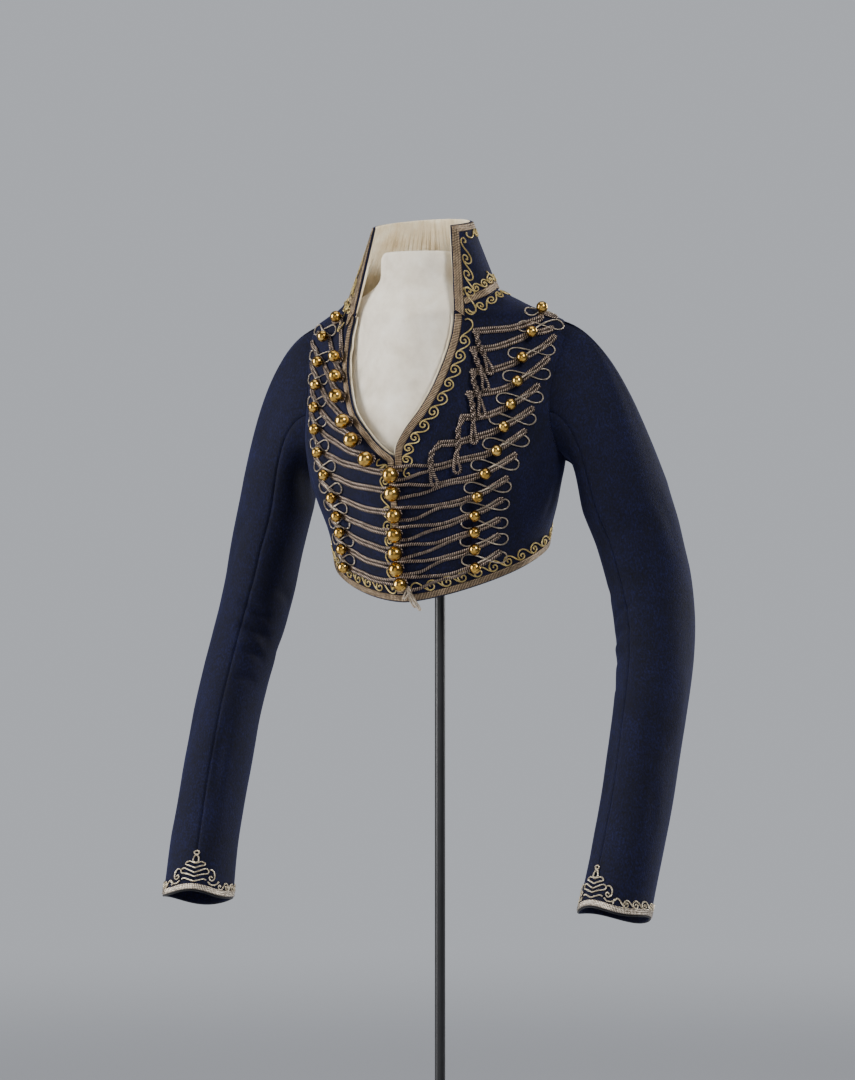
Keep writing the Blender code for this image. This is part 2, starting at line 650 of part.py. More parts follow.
def make_collar(finish, lining, braid):
    """The standing collar, its lining, and the braid on its free edges and its seam."""
    start = smooth_read(NECKLINE, 1, COLLAR_START) + 0.3
    end = 360.0 + smooth_read(NECKLINE, 2, COLLAR_START) - 0.3
    angles = np.linspace(start, end, 27)
    shares = np.linspace(0.0, 1.0, 5)
    grid = collar_point(angles[None, :], shares[:, None])
    normal = grid_normals(grid)
    shell("collar", grid, grid - normal * CLOTH, finish)
    inner = grid - normal * (CLOTH + GAP)
    shell("collar_lining", inner, inner - normal * LINING, lining)
    wide = 5.6
    tall = 0.085
    rise = np.linspace(0.0, 1.0, 5)
    outside = (np.concatenate([np.full(4, start), angles, np.full(4, end)]),
               np.concatenate([rise[:-1], np.ones(len(angles)), rise[::-1][1:]]))
    round_inner = np.linspace(start + wide, end - wide, len(angles))
    inside = (np.concatenate([np.full(4, start + wide), round_inner, np.full(4, end - wide)]),
              np.concatenate([rise[:-1] * (1 - tall), np.full(len(angles), 1 - tall), rise[::-1][1:] * (1 - tall)]))
    collar_strip("collar_braid", outside, inside, braid)
    seam = angles[1:-1].copy()
    seam[0], seam[-1] = start + wide + 0.6, end - wide - 0.6
    collar_strip("collar_seam_braid", (seam, np.full(len(seam), 0.10)), (seam, np.full(len(seam), 0.01)), braid)


def stacked_faces(count, sides):
    """Faces of a closed body whose points are rings stacked upwards, with a flat face at each end."""
    faces = []
    for j in range(count - 1):
        for i in range(sides):
            a, b = j * sides + i, j * sides + (i + 1) % sides
            faces.append((a, b, b + sides, a + sides))
    faces.append(tuple(range(sides - 1, -1, -1)))
    faces.append(tuple(range((count - 1) * sides, count * sides)))
    return faces


def make_form(finish):
    """The dress form: a whole, smooth torso just inside the cloth, with a short neck and a flat underside."""
    angles = np.linspace(0.0, 360.0, FORM_SIDES, endpoint=False)
    rings = []
    for height in (FORM_BOTTOM, 1115, 1141, 1170, 1200, 1230, 1258, 1280, 1294, 1303, 1311, 1320, 1328, 1333):
        closeness = np.clip((height - 1200.0) / 95.0, 0.0, 1.0)
        clear = FORM_CLEAR_BODY + (FORM_CLEAR_SHOULDER - FORM_CLEAR_BODY) * closeness
        front = np.clip(np.cos(np.radians(angles)) * 1.6, 0.0, 1.0)
        clear = clear + front * 4.0 + 2.0 * np.exp(-((height - 1290.0) / 12.0) ** 2) * np.sin(np.radians(angles)) ** 8
        ring = body_point(angles, height) - body_normal(angles, np.full(FORM_SIDES, height)) * clear[:, None] * MM
        if height == FORM_BOTTOM:
            ring[:, 2] = FORM_BOTTOM * MM
        rings.append(ring)
    turn = np.radians(angles)
    for height, grow in ((1341.0, 1.16), (1350.0, 1.04), (1364.0, 1.0), (FORM_NECK_TOP - 2.0, 0.99),
                         (FORM_NECK_TOP, 0.94)):
        x = FORM_NECK_HALF_WIDTH * grow * np.sin(turn)
        y = FORM_NECK_Y - FORM_NECK_HALF_DEPTH * grow * np.cos(turn)
        rings.append(np.stack([x, y, np.full(FORM_SIDES, height)], axis=-1) * MM)
    verts = np.concatenate(rings)
    make_object("dress_form", verts, stacked_faces(len(rings), FORM_SIDES), finish)


def cylinder(name, radius, low, high, sides, bevel, finish):
    """An upright round piece on the stand's axis, with an optional small bevel round its top."""
    turn = np.radians(np.linspace(0.0, 360.0, sides, endpoint=False))
    circle = np.stack([np.sin(turn), -np.cos(turn), 0.0 * turn], axis=-1)
    rings = [circle * radius + (0.0, 0.0, low), circle * radius + (0.0, 0.0, high - bevel)]
    if bevel:
        rings.append(circle * (radius - bevel) + (0.0, 0.0, high))
    make_object(name, np.concatenate(rings), stacked_faces(len(rings), sides), finish)


def make_stand(finish):
    """The black steel pole and its round base."""
    cylinder("base", BASE_RADIUS, 0.0, BASE_HEIGHT, 48, BASE_BEVEL, finish)
    cylinder("pole", POLE_RADIUS, BASE_HEIGHT + GAP, FORM_BOTTOM * MM - GAP, 16, 0.0, finish)


def main():
    clear_scene()
    navy = material("navy_broadcloth", NAVY, 0.9, 0.0)
    lining = material("cream_cotton", CREAM, 0.9, 0.0)
    braid = material("silver_gilt_braid", SILVER_GILT, 0.5, 0.6)
    gilt = material("gilt_brass", GILT, 0.3, 1.0)
    cream = material("form_jersey", CREAM, 0.8, 0.0)
    black = material("black_steel", BLACK, 0.45, 0.5)
    make_body_panels(navy, lining)
    make_sleeves(navy)
    make_cuff_braids(braid)
    make_collar(navy, lining, braid)
    make_body_braids(braid)
    make_frogs(braid, gilt)
    make_form(cream)
    make_stand(black)


main()
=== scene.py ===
"""A short navy hussar jacket with braid frogging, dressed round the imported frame, on its form and stand.

Lengths in the tables are millimetres and meshes are metres. Every shape is a surface of two parameters,
worked out as whole arrays. The body is read from level rings, the sleeves from rings along the arm, and
all the braid and cord lies on those same surfaces, moved out.
"""
import math

import bmesh
import bpy
import numpy as np
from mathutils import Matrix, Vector


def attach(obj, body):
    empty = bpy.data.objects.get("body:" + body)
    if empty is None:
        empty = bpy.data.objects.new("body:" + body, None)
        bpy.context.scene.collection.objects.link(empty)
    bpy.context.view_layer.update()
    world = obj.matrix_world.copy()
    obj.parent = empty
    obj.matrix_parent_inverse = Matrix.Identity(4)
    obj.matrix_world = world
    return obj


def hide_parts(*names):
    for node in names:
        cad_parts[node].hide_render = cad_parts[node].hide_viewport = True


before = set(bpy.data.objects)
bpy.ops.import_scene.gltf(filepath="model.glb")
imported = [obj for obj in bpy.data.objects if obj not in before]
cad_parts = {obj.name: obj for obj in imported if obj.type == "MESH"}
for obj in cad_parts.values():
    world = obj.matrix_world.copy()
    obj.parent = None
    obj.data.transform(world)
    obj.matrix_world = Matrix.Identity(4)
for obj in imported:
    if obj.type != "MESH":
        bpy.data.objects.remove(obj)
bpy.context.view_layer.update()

MM = 0.001

# Camera and set. The camera looks level, from 25 degrees towards the wearer's left
CAMERA_TURN = math.radians(25.0)
CAMERA_AWAY = 4.6
CAMERA_ASIDE = -0.0144
CAMERA_HEIGHT = 1.051
PIXELS_PER_METRE = 870.0
FRAME_HEIGHT_PX = 1080.0
SENSOR = 36.0
FLOOR_RADIUS = 6.0
FLOOR_FADES = (1.6, 5.8)
GROUND_LIGHT, GROUND_SEEN = 0.22, 0.62

# The body's outer face: level rings with a half width, the y of the widest point, the front and the back,
# and the share by which the corners are drawn in
BODY = np.array([
    (970.0, 119.0, 2.0, -97.0, 90.0, 0.020),
    (1000.0, 123.0, 1.0, -103.0, 94.0, 0.022),
    (1030.0, 128.0, 0.0, -108.0, 99.0, 0.028),
    (1061.0, 135.0, -3.0, -113.0, 102.0, 0.033),
    (1095.0, 147.0, -8.0, -120.0, 105.0, 0.038),
    (1123.0, 155.0, -13.0, -126.0, 107.0, 0.042),
    (1150.0, 160.0, -13.0, -130.0, 108.0, 0.050),
    (1185.0, 165.0, -10.0, -132.0, 108.0, 0.062),
    (1220.0, 168.0, -6.0, -128.0, 106.0, 0.085),
    (1250.0, 168.0, -4.0, -122.0, 100.0, 0.105),
    (1275.0, 165.0, -2.0, -116.0, 92.0, 0.115),
    (1299.0, 156.0, -2.0, -112.0, 80.0, 0.110),
    (1308.0, 139.0, -6.0, -111.0, 70.0, 0.080),
    (1317.0, 118.0, -14.0, -104.0, 56.0, 0.050),
    (1325.0, 104.0, -23.0, -95.0, 42.0, 0.020),
    (1335.0, 86.0, -37.0, -78.0, 23.0, 0.000),
])
ARMPIT, SHOULDER_TIP, NECK, V_BOTTOM = 1141.0, 1299.0, 1335.0, 1143.0
ARMHOLE_MIDDLE = 0.5 * (ARMPIT + SHOULDER_TIP)
ARMHOLE_HALF = 0.5 * (SHOULDER_TIP - ARMPIT)
HEM_FRONT, HEM_RISE, HEM_POWER = 981.0, 95.0, 0.8
CLOSING = 1.5

# Neckline: the angle of the left and the right front edge at each height
NECKLINE = np.array([
    (1143.0, 1.5, 1.5), (1155.0, 2.5, -6.0), (1175.0, 7.5, -15.0), (1196.0, 14.5, -24.0),
    (1222.0, 21.0, -31.0), (1250.0, 26.0, -37.0), (1278.0, 29.5, -39.5), (1297.0, 31.0, -39.0),
    (1308.0, 32.0, -38.0), (1317.0, 43.0, -47.0), (1325.0, 57.0, -60.0), (1331.0, 72.0, -73.0),
    (1334.2, 86.5, -86.5),
])
COLLAR_START = 1308.0

# Armhole and side seam: the angle of the front's outer edge and of the back's at each height
ARMHOLE = np.array([
    (970.0, 101.0, 101.0), (1120.0, 101.0, 101.0), (1141.0, 98.0, 98.0), (1150.0, 85.0, 112.0),
    (1165.0, 77.0, 120.0), (1190.0, 72.0, 125.0), (1220.0, 70.5, 125.0), (1250.0, 74.0, 120.0),
    (1275.0, 79.5, 111.0), (1290.0, 84.5, 102.0), (1299.0, 90.0, 90.0), (1335.0, 90.0, 90.0),
])

# Sleeve of the wearer's left: middle of each section, half widths across and along, and their turn
SLEEVE = np.array([
    (221.0, 22.0, 1098.0, 44.0, 54.0, 30.0),
    (235.0, 29.0, 1055.0, 43.0, 53.0, 30.0),
    (246.0, 30.0, 1010.0, 42.0, 51.0, 30.0),
    (254.0, 25.0, 970.0, 41.0, 50.0, 28.0),
    (260.0, 14.0, 930.0, 40.0, 48.0, 25.0),
    (264.0, -2.0, 888.0, 39.0, 46.0, 20.0),
    (266.0, -24.0, 838.0, 38.5, 44.5, 15.0),
    (266.0, -48.0, 780.0, 38.5, 43.5, 10.0),
    (264.0, -74.0, 715.0, 38.5, 42.5, 5.0),
    (261.0, -94.0, 665.0, 39.0, 42.0, 0.0),
    (259.0, -105.0, 638.0, 39.5, 42.0, 0.0),
])
SLEEVE_START = np.array([0.96, 0.0, -0.28])
SLEEVE_HEAD_PULL, SLEEVE_ARM_PULL = 0.95, 0.80
FOREARM_SEAM, HIND_SEAM = 108.0, 252.0
CUFF_PEAK, CUFF_PEAK_WIDTH, CUFF_LEVEL = 7.0, 38.0, 0.55

# Collar: its top ring, and the height of its top at the front and at the back
COLLAR_HALF_WIDTH, COLLAR_Y, COLLAR_HALF_DEPTH = 57.0, -47.0, 50.0
COLLAR_FRONT, COLLAR_BACK, COLLAR_TOP_START = 1402.0, 1419.0, 57.0


# ---- surfaces

def smooth_read(table, column, at):
    """Reads a table's column at any place, as a cubic curve that never overshoots its rows."""
    x, y = table[:, 0], table[:, column]
    step = np.diff(x)
    slope = np.diff(y) / step
    tangent = np.concatenate([slope[:1], np.zeros(len(x) - 2), slope[-1:]])
    before, after = slope[:-1], slope[1:]
    same = before * after > 0.0
    tangent[1:-1][same] = 2.0 * before[same] * after[same] / (before[same] + after[same])
    at = np.clip(np.asarray(at, float), x[0], x[-1])
    k = np.clip(np.searchsorted(x, at, side="right") - 1, 0, len(x) - 2)
    t = (at - x[k]) / step[k]
    curve = (1 + 2 * t) * (1 - t) ** 2 * y[k] + t * (1 - t) ** 2 * step[k] * tangent[k]
    return curve + t * t * (3 - 2 * t) * y[k + 1] + t * t * (t - 1) * step[k] * tangent[k + 1]


def unit(v):
    return v / np.maximum(np.linalg.norm(v, axis=-1, keepdims=True), 1e-12)


def body_point(angle, height):
    """A superellipse-like ring: a sine across and a cosine in depth, each with some of its third harmonic."""
    turn, height = np.broadcast_arrays(np.radians(np.asarray(angle, float)), np.asarray(height, float))
    half_width, y_wide, y_front, y_back, corner = (smooth_read(BODY, c, height) for c in range(1, 6))
    corner = corner * np.where(np.cos(turn) > 0.0, 1.0, 0.3 + 0.7 * np.abs(np.sin(turn)))
    x = half_width * (np.sin(turn) - corner * np.sin(3 * turn)) / (1 + corner)
    reach = (np.cos(turn) + corner * np.cos(3 * turn)) / (1 + corner)
    y = y_wide + np.where(np.cos(turn) > 0.0, y_front - y_wide, y_wide - y_back) * reach
    return np.stack([x, y, height], axis=-1) * MM


def slopes(surface, a, b, da=0.3, db=0.4):
    """The surface's change per unit of each of its two coordinates."""
    a, b = np.broadcast_arrays(np.asarray(a, float), np.asarray(b, float))
    along = (surface(a + da, b) - surface(a - da, b)) / (2 * da)
    up = (surface(a, b + db) - surface(a, b - db)) / (2 * db)
    return along, up


def normal_of(surface, a, b, da=0.3, db=0.4):
    """The direction out of the surface, across both of its slopes."""
    along, up = slopes(surface, a, b, da, db)
    return unit(np.cross(along, up))


def gullies(table, u, v):
    """Sum of soft creases. Each runs from one point to another with a width and a depth, in millimetres:
    a bell across its line that fades to nothing at both of its ends."""
    sink = np.zeros(np.broadcast(u, v).shape)
    for u0, v0, u1, v1, width, depth in table:
        length = math.hypot(u1 - u0, v1 - v0)
        du, dv = (u1 - u0) / length, (v1 - v0) / length
        s = ((u - u0) * du + (v - v0) * dv) / length
        bend = 0.06 * length * np.sin(np.pi * np.clip(s, 0, 1))
        d = (u - u0) * -dv + (v - v0) * du - bend
        fade = np.clip(1.0 - (2 * s - 1.0) ** 2, 0.0, 1.0)
        sink += depth * np.exp(-(d / width) ** 2) * fade
    return sink


# Creases of the body, as angle * 2.6 and height: pulls from the armholes and the side, and soft ridges
BODY_CREASES = [
    (178.0, 1196.0, 140.0, 1150.0, 7.0, -2.6), (180.0, 1180.0, 150.0, 1128.0, 6.0, -2.2),
    (196.0, 1150.0, 176.0, 1100.0, 8.0, -2.0), (150.0, 1150.0, 120.0, 1118.0, 8.0, 0.9),
    (225.0, 1125.0, 215.0, 1070.0, 9.0, -1.6), (262.0, 1130.0, 250.0, 1050.0, 10.0, -1.8),
    (120.0, 1060.0, 70.0, 1040.0, 9.0, -0.9), (110.0, 1030.0, 60.0, 1012.0, 8.0, -0.8),
    (345.0, 1215.0, 300.0, 1140.0, 10.0, -2.2), (352.0, 1190.0, 330.0, 1120.0, 9.0, -2.0),
    (400.0, 1130.0, 390.0, 1075.0, 10.0, -1.2), (430.0, 1260.0, 425.0, 1180.0, 12.0, 0.8),
    (190.0, 1262.0, 160.0, 1285.0, 8.0, -1.4), (185.0, 1240.0, 160.0, 1262.0, 8.0, 0.9),
]


def body_face(angle, height):
    """The body's ring surface with its creases: the same set on both sides, the right's a little apart."""
    face = body_point(angle, height)
    turned = (np.asarray(angle, float) + 180.0) % 360.0 - 180.0
    side = np.where(turned < 0.0, 1.0, 0.0)
    u = np.abs(turned) * 2.6 + side * 4.0
    v = np.asarray(height, float) - side * 3.0
    sink = gullies(BODY_CREASES, u, v)
    ripple = 0.45 * np.sin(u / 19.0 + 1.3 * side) * np.sin(v / 27.0 + 0.8)
    calm = np.clip((1322.0 - v) / 40.0, 0.0, 1.0)
    along, up = slopes(body_point, angle, np.clip(height, 971.0, 1334.0))
    return face + unit(np.cross(along, up)) * ((sink + ripple) * calm * MM)[..., None]


def hem_height(angle):
    """The hem is lowest at the centre front and rises evenly towards the back."""
    half = np.sin(np.radians(np.asarray(angle, float)) / 2.0) ** 2
    return HEM_FRONT + HEM_RISE * half ** HEM_POWER


def above_hem(angle, level):
    """Turns a nominal level into a height, so that the levels below the armpit follow the hem."""
    share = np.clip((ARMPIT - level) / (ARMPIT - HEM_FRONT), 0.0, 1.0)
    return np.where(level < ARMPIT, ARMPIT - (ARMPIT - hem_height(angle)) * share, level)


def neck_edge(column, level):
    """The angle of a front's inner edge: the closing line at first, then the open neckline."""
    return np.where(level <= V_BOTTOM, CLOSING, smooth_read(NECKLINE, column, level))


def arm_section(turn, place):
    """Points of the arm's rings. A ring is an ellipse in the plane across the arm's own line."""
    turn, place = np.broadcast_arrays(np.asarray(turn, float), np.asarray(place, float))
    rows = np.column_stack([np.arange(len(SLEEVE)), SLEEVE])
    last = len(SLEEVE) - 1.0
    middle = np.stack([smooth_read(rows, c, place) for c in (1, 2, 3)], axis=-1) * MM
    ahead = np.stack([smooth_read(rows, c, np.clip(place, 0, last - 0.5) + 0.5) for c in (1, 2, 3)], axis=-1)
    behind = np.stack([smooth_read(rows, c, np.clip(place, 0.5, last) - 0.5) for c in (1, 2, 3)], axis=-1)
    down = unit(ahead - behind)
    narrow, wide, lean = (smooth_read(rows, c, place) for c in (4, 5, 6))
    out = np.array([1.0, 0.0, 0.0]) - down * down[..., :1]
    out = unit(out)
    forward = np.cross(down, out)
    forward = forward * np.where(forward[..., 1:2] < 0.0, 1.0, -1.0)
    a, lean = np.radians(turn), np.radians(lean)
    flat = np.cos(a)[..., None] * out + np.sin(a)[..., None] * forward
    p = -np.cos(lean) * np.sin(a) + np.sin(lean) * np.cos(a)
    q = np.sin(lean) * np.sin(a) + np.cos(lean) * np.cos(a)
    radius = 1.0 / np.sqrt((p / wide) ** 2 + (q / narrow) ** 2)
    return middle + flat * (radius * MM)[..., None], down


def armhole_loop(turn):
    """The armhole of the wearer's left: turn 0 is the shoulder tip and 90 the front."""
    turn = np.asarray(turn, float)
    height = ARMHOLE_MIDDLE + ARMHOLE_HALF * np.cos(np.radians(turn))
    column = np.where(np.sin(np.radians(turn)) >= 0.0, smooth_read(ARMHOLE, 1, height),
                      smooth_read(ARMHOLE, 2, height))
    return body_point(column, height)


def sleeve_plain(turn, place):
    """The sleeve: from place -1 to 0 a cubic blend from the armhole's loop to the arm's first ring, then
    the arm's rings to place 10, where the cuff is cut to a low peak over the forearm seam."""
    turn, place = np.broadcast_arrays(np.asarray(turn, float), np.asarray(place, float))
    t = np.clip(place + 1.0, 0.0, 1.0)[..., None]
    start = armhole_loop(turn)
    first, first_way = arm_section(turn, np.zeros(place.shape))
    gap = np.linalg.norm(first - start, axis=-1, keepdims=True)
    head = (1 + 2 * t) * (1 - t) ** 2 * start + t * t * (3 - 2 * t) * first
    head = head + t * (1 - t) ** 2 * unit(SLEEVE_START) * SLEEVE_HEAD_PULL * gap
    head = head + t * t * (t - 1) * first_way * SLEEVE_ARM_PULL * gap
    arm, way = arm_section(turn, np.clip(place, 0.0, 10.0))
    end, end_way = arm_section(turn, np.full(place.shape, 10.0))
    peak = CUFF_PEAK * MM * np.exp(-(((turn % 360.0) - FOREARM_SEAM) / CUFF_PEAK_WIDTH) ** 2)
    level = (end[..., 2] - SLEEVE[-1, 2] * MM) * CUFF_LEVEL / end_way[..., 2]
    cut = np.clip(place - 9.0, 0.0, 1.5) * (peak + level)
    arm = arm - end_way * cut[..., None]
    arm = arm + end_way * (np.clip(place - 10.0, 0.0, 1.0) * 29.2 * MM)[..., None]
    return np.where(place[..., None] < 0.0, head, arm)


# Creases of the sleeve, as turn * 0.8 and millimetres down the arm: the inner elbow, the head, the forearm
SLEEVE_CREASES = [
    (118.0, 148.0, 74.0, 132.0, 6.0, -3.2), (128.0, 172.0, 80.0, 163.0, 7.0, -3.6),
    (130.0, 200.0, 84.0, 196.0, 6.0, -2.8), (122.0, 186.0, 90.0, 180.0, 5.0, 1.4),
    (126.0, 228.0, 92.0, 236.0, 7.0, -2.2), (150.0, 120.0, 112.0, 104.0, 7.0, -2.4),
    (60.0, 250.0, 46.0, 330.0, 8.0, -1.4), (100.0, 270.0, 108.0, 400.0, 8.0, -2.0),
    (112.0, 300.0, 116.0, 430.0, 9.0, 1.2), (40.0, 330.0, 30.0, 420.0, 10.0, -1.2),
    (20.0, -10.0, 8.0, 80.0, 10.0, -1.2), (262.0, 0.0, 270.0, 90.0, 12.0, -1.6),
    (62.0, 10.0, 44.0, 90.0, 9.0, -2.0), (230.0, 160.0, 250.0, 260.0, 12.0, -1.4),
    (190.0, 150.0, 160.0, 190.0, 8.0, -2.0), (236.0, 330.0, 226.0, 430.0, 10.0, -1.2),
    (10.0, 200.0, 14.0, 300.0, 12.0, 0.9), (185.0, 380.0, 190.0, 460.0, 8.0, -1.3),
]
SLEEVE_DOWN = np.array([-110.0, 0.0, 46.0, 92.5, 133.0, 175.0, 220.0, 275.0, 338.0, 409.0, 463.0, 492.0])


def sleeve_face(turn, place):
    """The sleeve with its creases, which wrap round the arm, and a slow wave down its length. Near the
    cuff its edge rises and falls by two sines of the turn, as limp cloth does."""
    turn, place = np.broadcast_arrays(np.asarray(turn, float), np.asarray(place, float))
    u = (turn % 360.0) * 0.8
    v = np.interp(place, np.arange(-1.0, 11.0), SLEEVE_DOWN)
    sink = gullies(SLEEVE_CREASES, u, v) + gullies(SLEEVE_CREASES, u - 288.0, v)
    ripple = 0.7 * np.sin(v / 31.0 + u / 45.0) * np.sin(u / 24.0 + 1.1)
    calm = np.clip((place + 1.0) / 0.35, 0.0, 1.0) * np.clip((10.2 - place) / 1.4, 0.15, 1.0)
    along, up = slopes(sleeve_plain, turn, place, 0.5, 0.02)
    around = np.radians(turn)
    drop = 1.9 * np.sin(2.0 * around + 0.9) + 1.3 * np.sin(3.0 * around + 2.4)
    drop = drop * np.clip((place - 8.9) / 1.1, 0.0, 1.0) ** 2
    face = sleeve_plain(turn, place) + np.array([0.0, 0.0, 1.0]) * (drop * MM)[..., None]
    return face + unit(np.cross(along, up)) * ((sink + ripple) * calm * MM)[..., None]


def collar_face(angle, share):
    """The standing collar: straight lines up from the neck seam to an elliptic top ring, a little hollow."""
    angle, share = np.broadcast_arrays(np.asarray(angle, float), np.asarray(share, float))
    away = np.abs(((angle + 180.0) % 360.0) - 180.0)
    on_left = angle <= 180.0
    heights = np.linspace(COLLAR_START, NECKLINE[-1, 0], 60)
    seam = np.where(on_left, np.interp(away, smooth_read(NECKLINE, 1, heights), heights),
                    np.interp(away, -smooth_read(NECKLINE, 2, heights), heights))
    seam = np.where(away > 86.0, np.interp(away, (86.0, 90.0), (NECKLINE[-1, 0], NECK)), seam)
    base = body_point(angle, seam) + np.array([0.0, 0.0, 0.9]) * MM
    start = smooth_read(NECKLINE, 1, COLLAR_START)
    turn = np.radians(COLLAR_TOP_START + (180.0 - COLLAR_TOP_START) * (away - start) / (180.0 - start))
    across = np.where(on_left, 1.0, -1.0) * np.sin(turn) * COLLAR_HALF_WIDTH
    depth = COLLAR_Y - np.cos(turn) * COLLAR_HALF_DEPTH
    rise = COLLAR_FRONT + (COLLAR_BACK - COLLAR_FRONT) * 0.5 * (1 - np.cos(turn))
    top = np.stack([across, depth, rise], axis=-1) * MM
    return base + (top - base) * share[..., None]


# Meshes

class Mesh:
    """Grids of points gathered into one mesh. A grid's rows run along it and its columns across."""

    def __init__(self):
        self.points, self.faces, self.marks, self.count = [], [], [], 0

    def add(self, grid, mark=None, around=False, ends=False):
        """A grid of points with a mark of two numbers each, kept as a UV. Around closes its columns, and
        ends fills its first and last row with a fan."""
        rows, cols = grid.shape[:2]
        mark = np.zeros((rows, cols, 2)) if mark is None else mark
        if around:
            grid = np.concatenate([grid, grid[:, :1]], axis=1)
            mark = np.concatenate([mark, mark[:, :1] + (0.0, 1.0)], axis=1)
            cols += 1
        index = self.count + np.arange(rows * cols).reshape(rows, cols)
        quads = np.stack([index[:-1, :-1], index[:-1, 1:], index[1:, 1:], index[1:, :-1]], axis=-1).reshape(-1, 4)
        points, marks = [grid.reshape(-1, 3)], [mark.reshape(-1, 2)]
        faces = [quads]
        if ends:
            for row, flip in ((0, True), (rows - 1, False)):
                middle = self.count + rows * cols + (0 if row == 0 else 1)
                a, b = index[row, :-1], index[row, 1:]
                a, b = (b, a) if flip else (a, b)
                fan = np.stack([a, b, np.full(len(a), middle), np.full(len(a), middle)], axis=-1)
                faces.append(fan)
            points.append(np.stack([grid[0, :-1].mean(axis=0), grid[-1, :-1].mean(axis=0)]))
            marks.append(np.stack([mark[0, 0], mark[-1, 0]]))
        points = np.concatenate(points)
        self.points.append(points)
        self.marks.append(np.concatenate(marks))
        self.faces.append(np.concatenate(faces))
        self.count += len(points)

    def wall(self, outer, inner, mark=None):
        """A closed wall between two grids, with a rounded edge all round. Its edge's middle stands out."""
        rows, cols = outer.shape[:2]
        if mark is None:
            mark = np.zeros((rows, cols, 2))
        half = 0.5 * (outer + inner)
        thick = np.linalg.norm(outer - inner, axis=-1, keepdims=True) * 0.35

        def rim(grid, inward, axis):
            return grid + unit(grid - inward) * thick_at(axis)

        def thick_at(where):
            return thick[where]

        top = rim(half[-1], half[-2], -1)
        bottom = rim(half[0], half[1], 0)
        ring = np.concatenate([bottom[None], outer, top[None], inner[::-1], bottom[None]])
        marks = np.concatenate([mark[:1], mark, mark[-1:], mark[::-1], mark[:1]])
        left = half[:, 0] + unit(half[:, 0] - half[:, 1]) * thick[:, 0]
        right = half[:, -1] + unit(half[:, -1] - half[:, -2]) * thick[:, -1]
        left = np.concatenate([bottom[:1], left, top[:1], left[::-1], bottom[:1]])
        right = np.concatenate([bottom[-1:], right, top[-1:], right[::-1], bottom[-1:]])
        ring = np.concatenate([left[:, None], ring, right[:, None]], axis=1)
        marks = np.concatenate([marks[:, :1], marks, marks[:, -1:]], axis=1)
        self.add(ring, marks)

    def make(self, name, finish, body_slot, replaces=(), merge=0.00002):
        """Puts the arrays into a mesh, merges its seams, turns its faces out and gives it its finish."""
        points = np.concatenate(self.points)
        marks = np.concatenate(self.marks)
        faces = np.concatenate(self.faces)
        triangle = faces[:, 2] == faces[:, 3]
        sizes = np.where(triangle, 3, 4)
        corners = faces.reshape(-1)[np.stack([np.ones(len(faces), bool)] * 3 + [~triangle], axis=-1).reshape(-1)]
        mesh = bpy.data.meshes.new(name)
        mesh.vertices.add(len(points))
        mesh.vertices.foreach_set("co", points.reshape(-1))
        mesh.loops.add(len(corners))
        mesh.loops.foreach_set("vertex_index", corners.astype(np.int32))
        mesh.polygons.add(len(faces))
        starts = np.concatenate([[0], np.cumsum(sizes)[:-1]])
        mesh.polygons.foreach_set("loop_start", starts.astype(np.int32))
        mesh.update(calc_edges=True)
        layer = mesh.uv_layers.new(name="along")
        layer.data.foreach_set("uv", marks[corners].reshape(-1))
        work = bmesh.new()
        work.from_mesh(mesh)
        bmesh.ops.remove_doubles(work, verts=work.verts, dist=merge)
        bmesh.ops.dissolve_degenerate(work, edges=work.edges, dist=1e-7)
        bmesh.ops.recalc_face_normals(work, faces=work.faces)
        work.to_mesh(mesh)
        work.free()
        mesh.shade_smooth()
        mesh.set_sharp_from_angle(angle=math.radians(50))
        thing = bpy.data.objects.new(name, mesh)
        bpy.context.scene.collection.objects.link(thing)
        mesh.materials.append(finish)
        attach(thing, "root")
        if replaces:
            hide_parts(*replaces)
        return thing


def mirror(grid):
    """The same points on the wearer's right, with their columns turned round so that they face out."""
    return (grid * np.array([-1.0, 1.0, 1.0]))[:, ::-1]


def solve(along, up, move):
    """The change of a surface's two coordinates that gives a small move in its plane."""
    aa, uu, au = (np.sum(p * q, axis=-1) for p, q in ((along, along), (up, up), (along, up)))
    am, um = np.sum(along * move, axis=-1), np.sum(up * move, axis=-1)
    det = aa * uu - au * au
    return (am * uu - um * au) / det, (um * aa - am * au) / det


def line_length(points):
    """Distance run along a line of points, in millimetres."""
    return np.concatenate([[0.0], np.cumsum(np.linalg.norm(np.diff(points, axis=0), axis=-1))]) / MM


def even(rows, step, closed=False):
    """A smooth line through a few points of any kind, with points at even steps of their own length."""
    rows = np.asarray(rows, float)
    if closed:
        rows = np.concatenate([rows[-2:], rows, rows[:3]])
    before = np.concatenate([2 * rows[:1] - rows[1:2], rows[:-1]])
    after = np.concatenate([rows[1:], 2 * rows[-1:] - rows[-2:-1]])
    tangent = 0.5 * (after - before)
    t = np.linspace(0.0, 1.0, 24, endpoint=False)[None, :, None]
    a, b, ta, tb = rows[:-1, None], rows[1:, None], tangent[:-1, None], tangent[1:, None]
    fine = (1 + 2 * t) * (1 - t) ** 2 * a + t * (1 - t) ** 2 * ta
    fine = fine + t * t * (3 - 2 * t) * b + t * t * (t - 1) * tb
    if closed:
        fine = fine[2:-2]
    fine = np.concatenate([fine.reshape(-1, rows.shape[1]), (rows[2:3] if closed else rows[-1:])])
    run = np.concatenate([[0.0], np.cumsum(np.linalg.norm(np.diff(fine, axis=0), axis=-1))])
    at = np.linspace(0.0, run[-1], max(int(run[-1] / step), 3) + 1)
    return np.stack([np.interp(at, run, fine[:, c]) for c in range(fine.shape[1])], axis=-1)


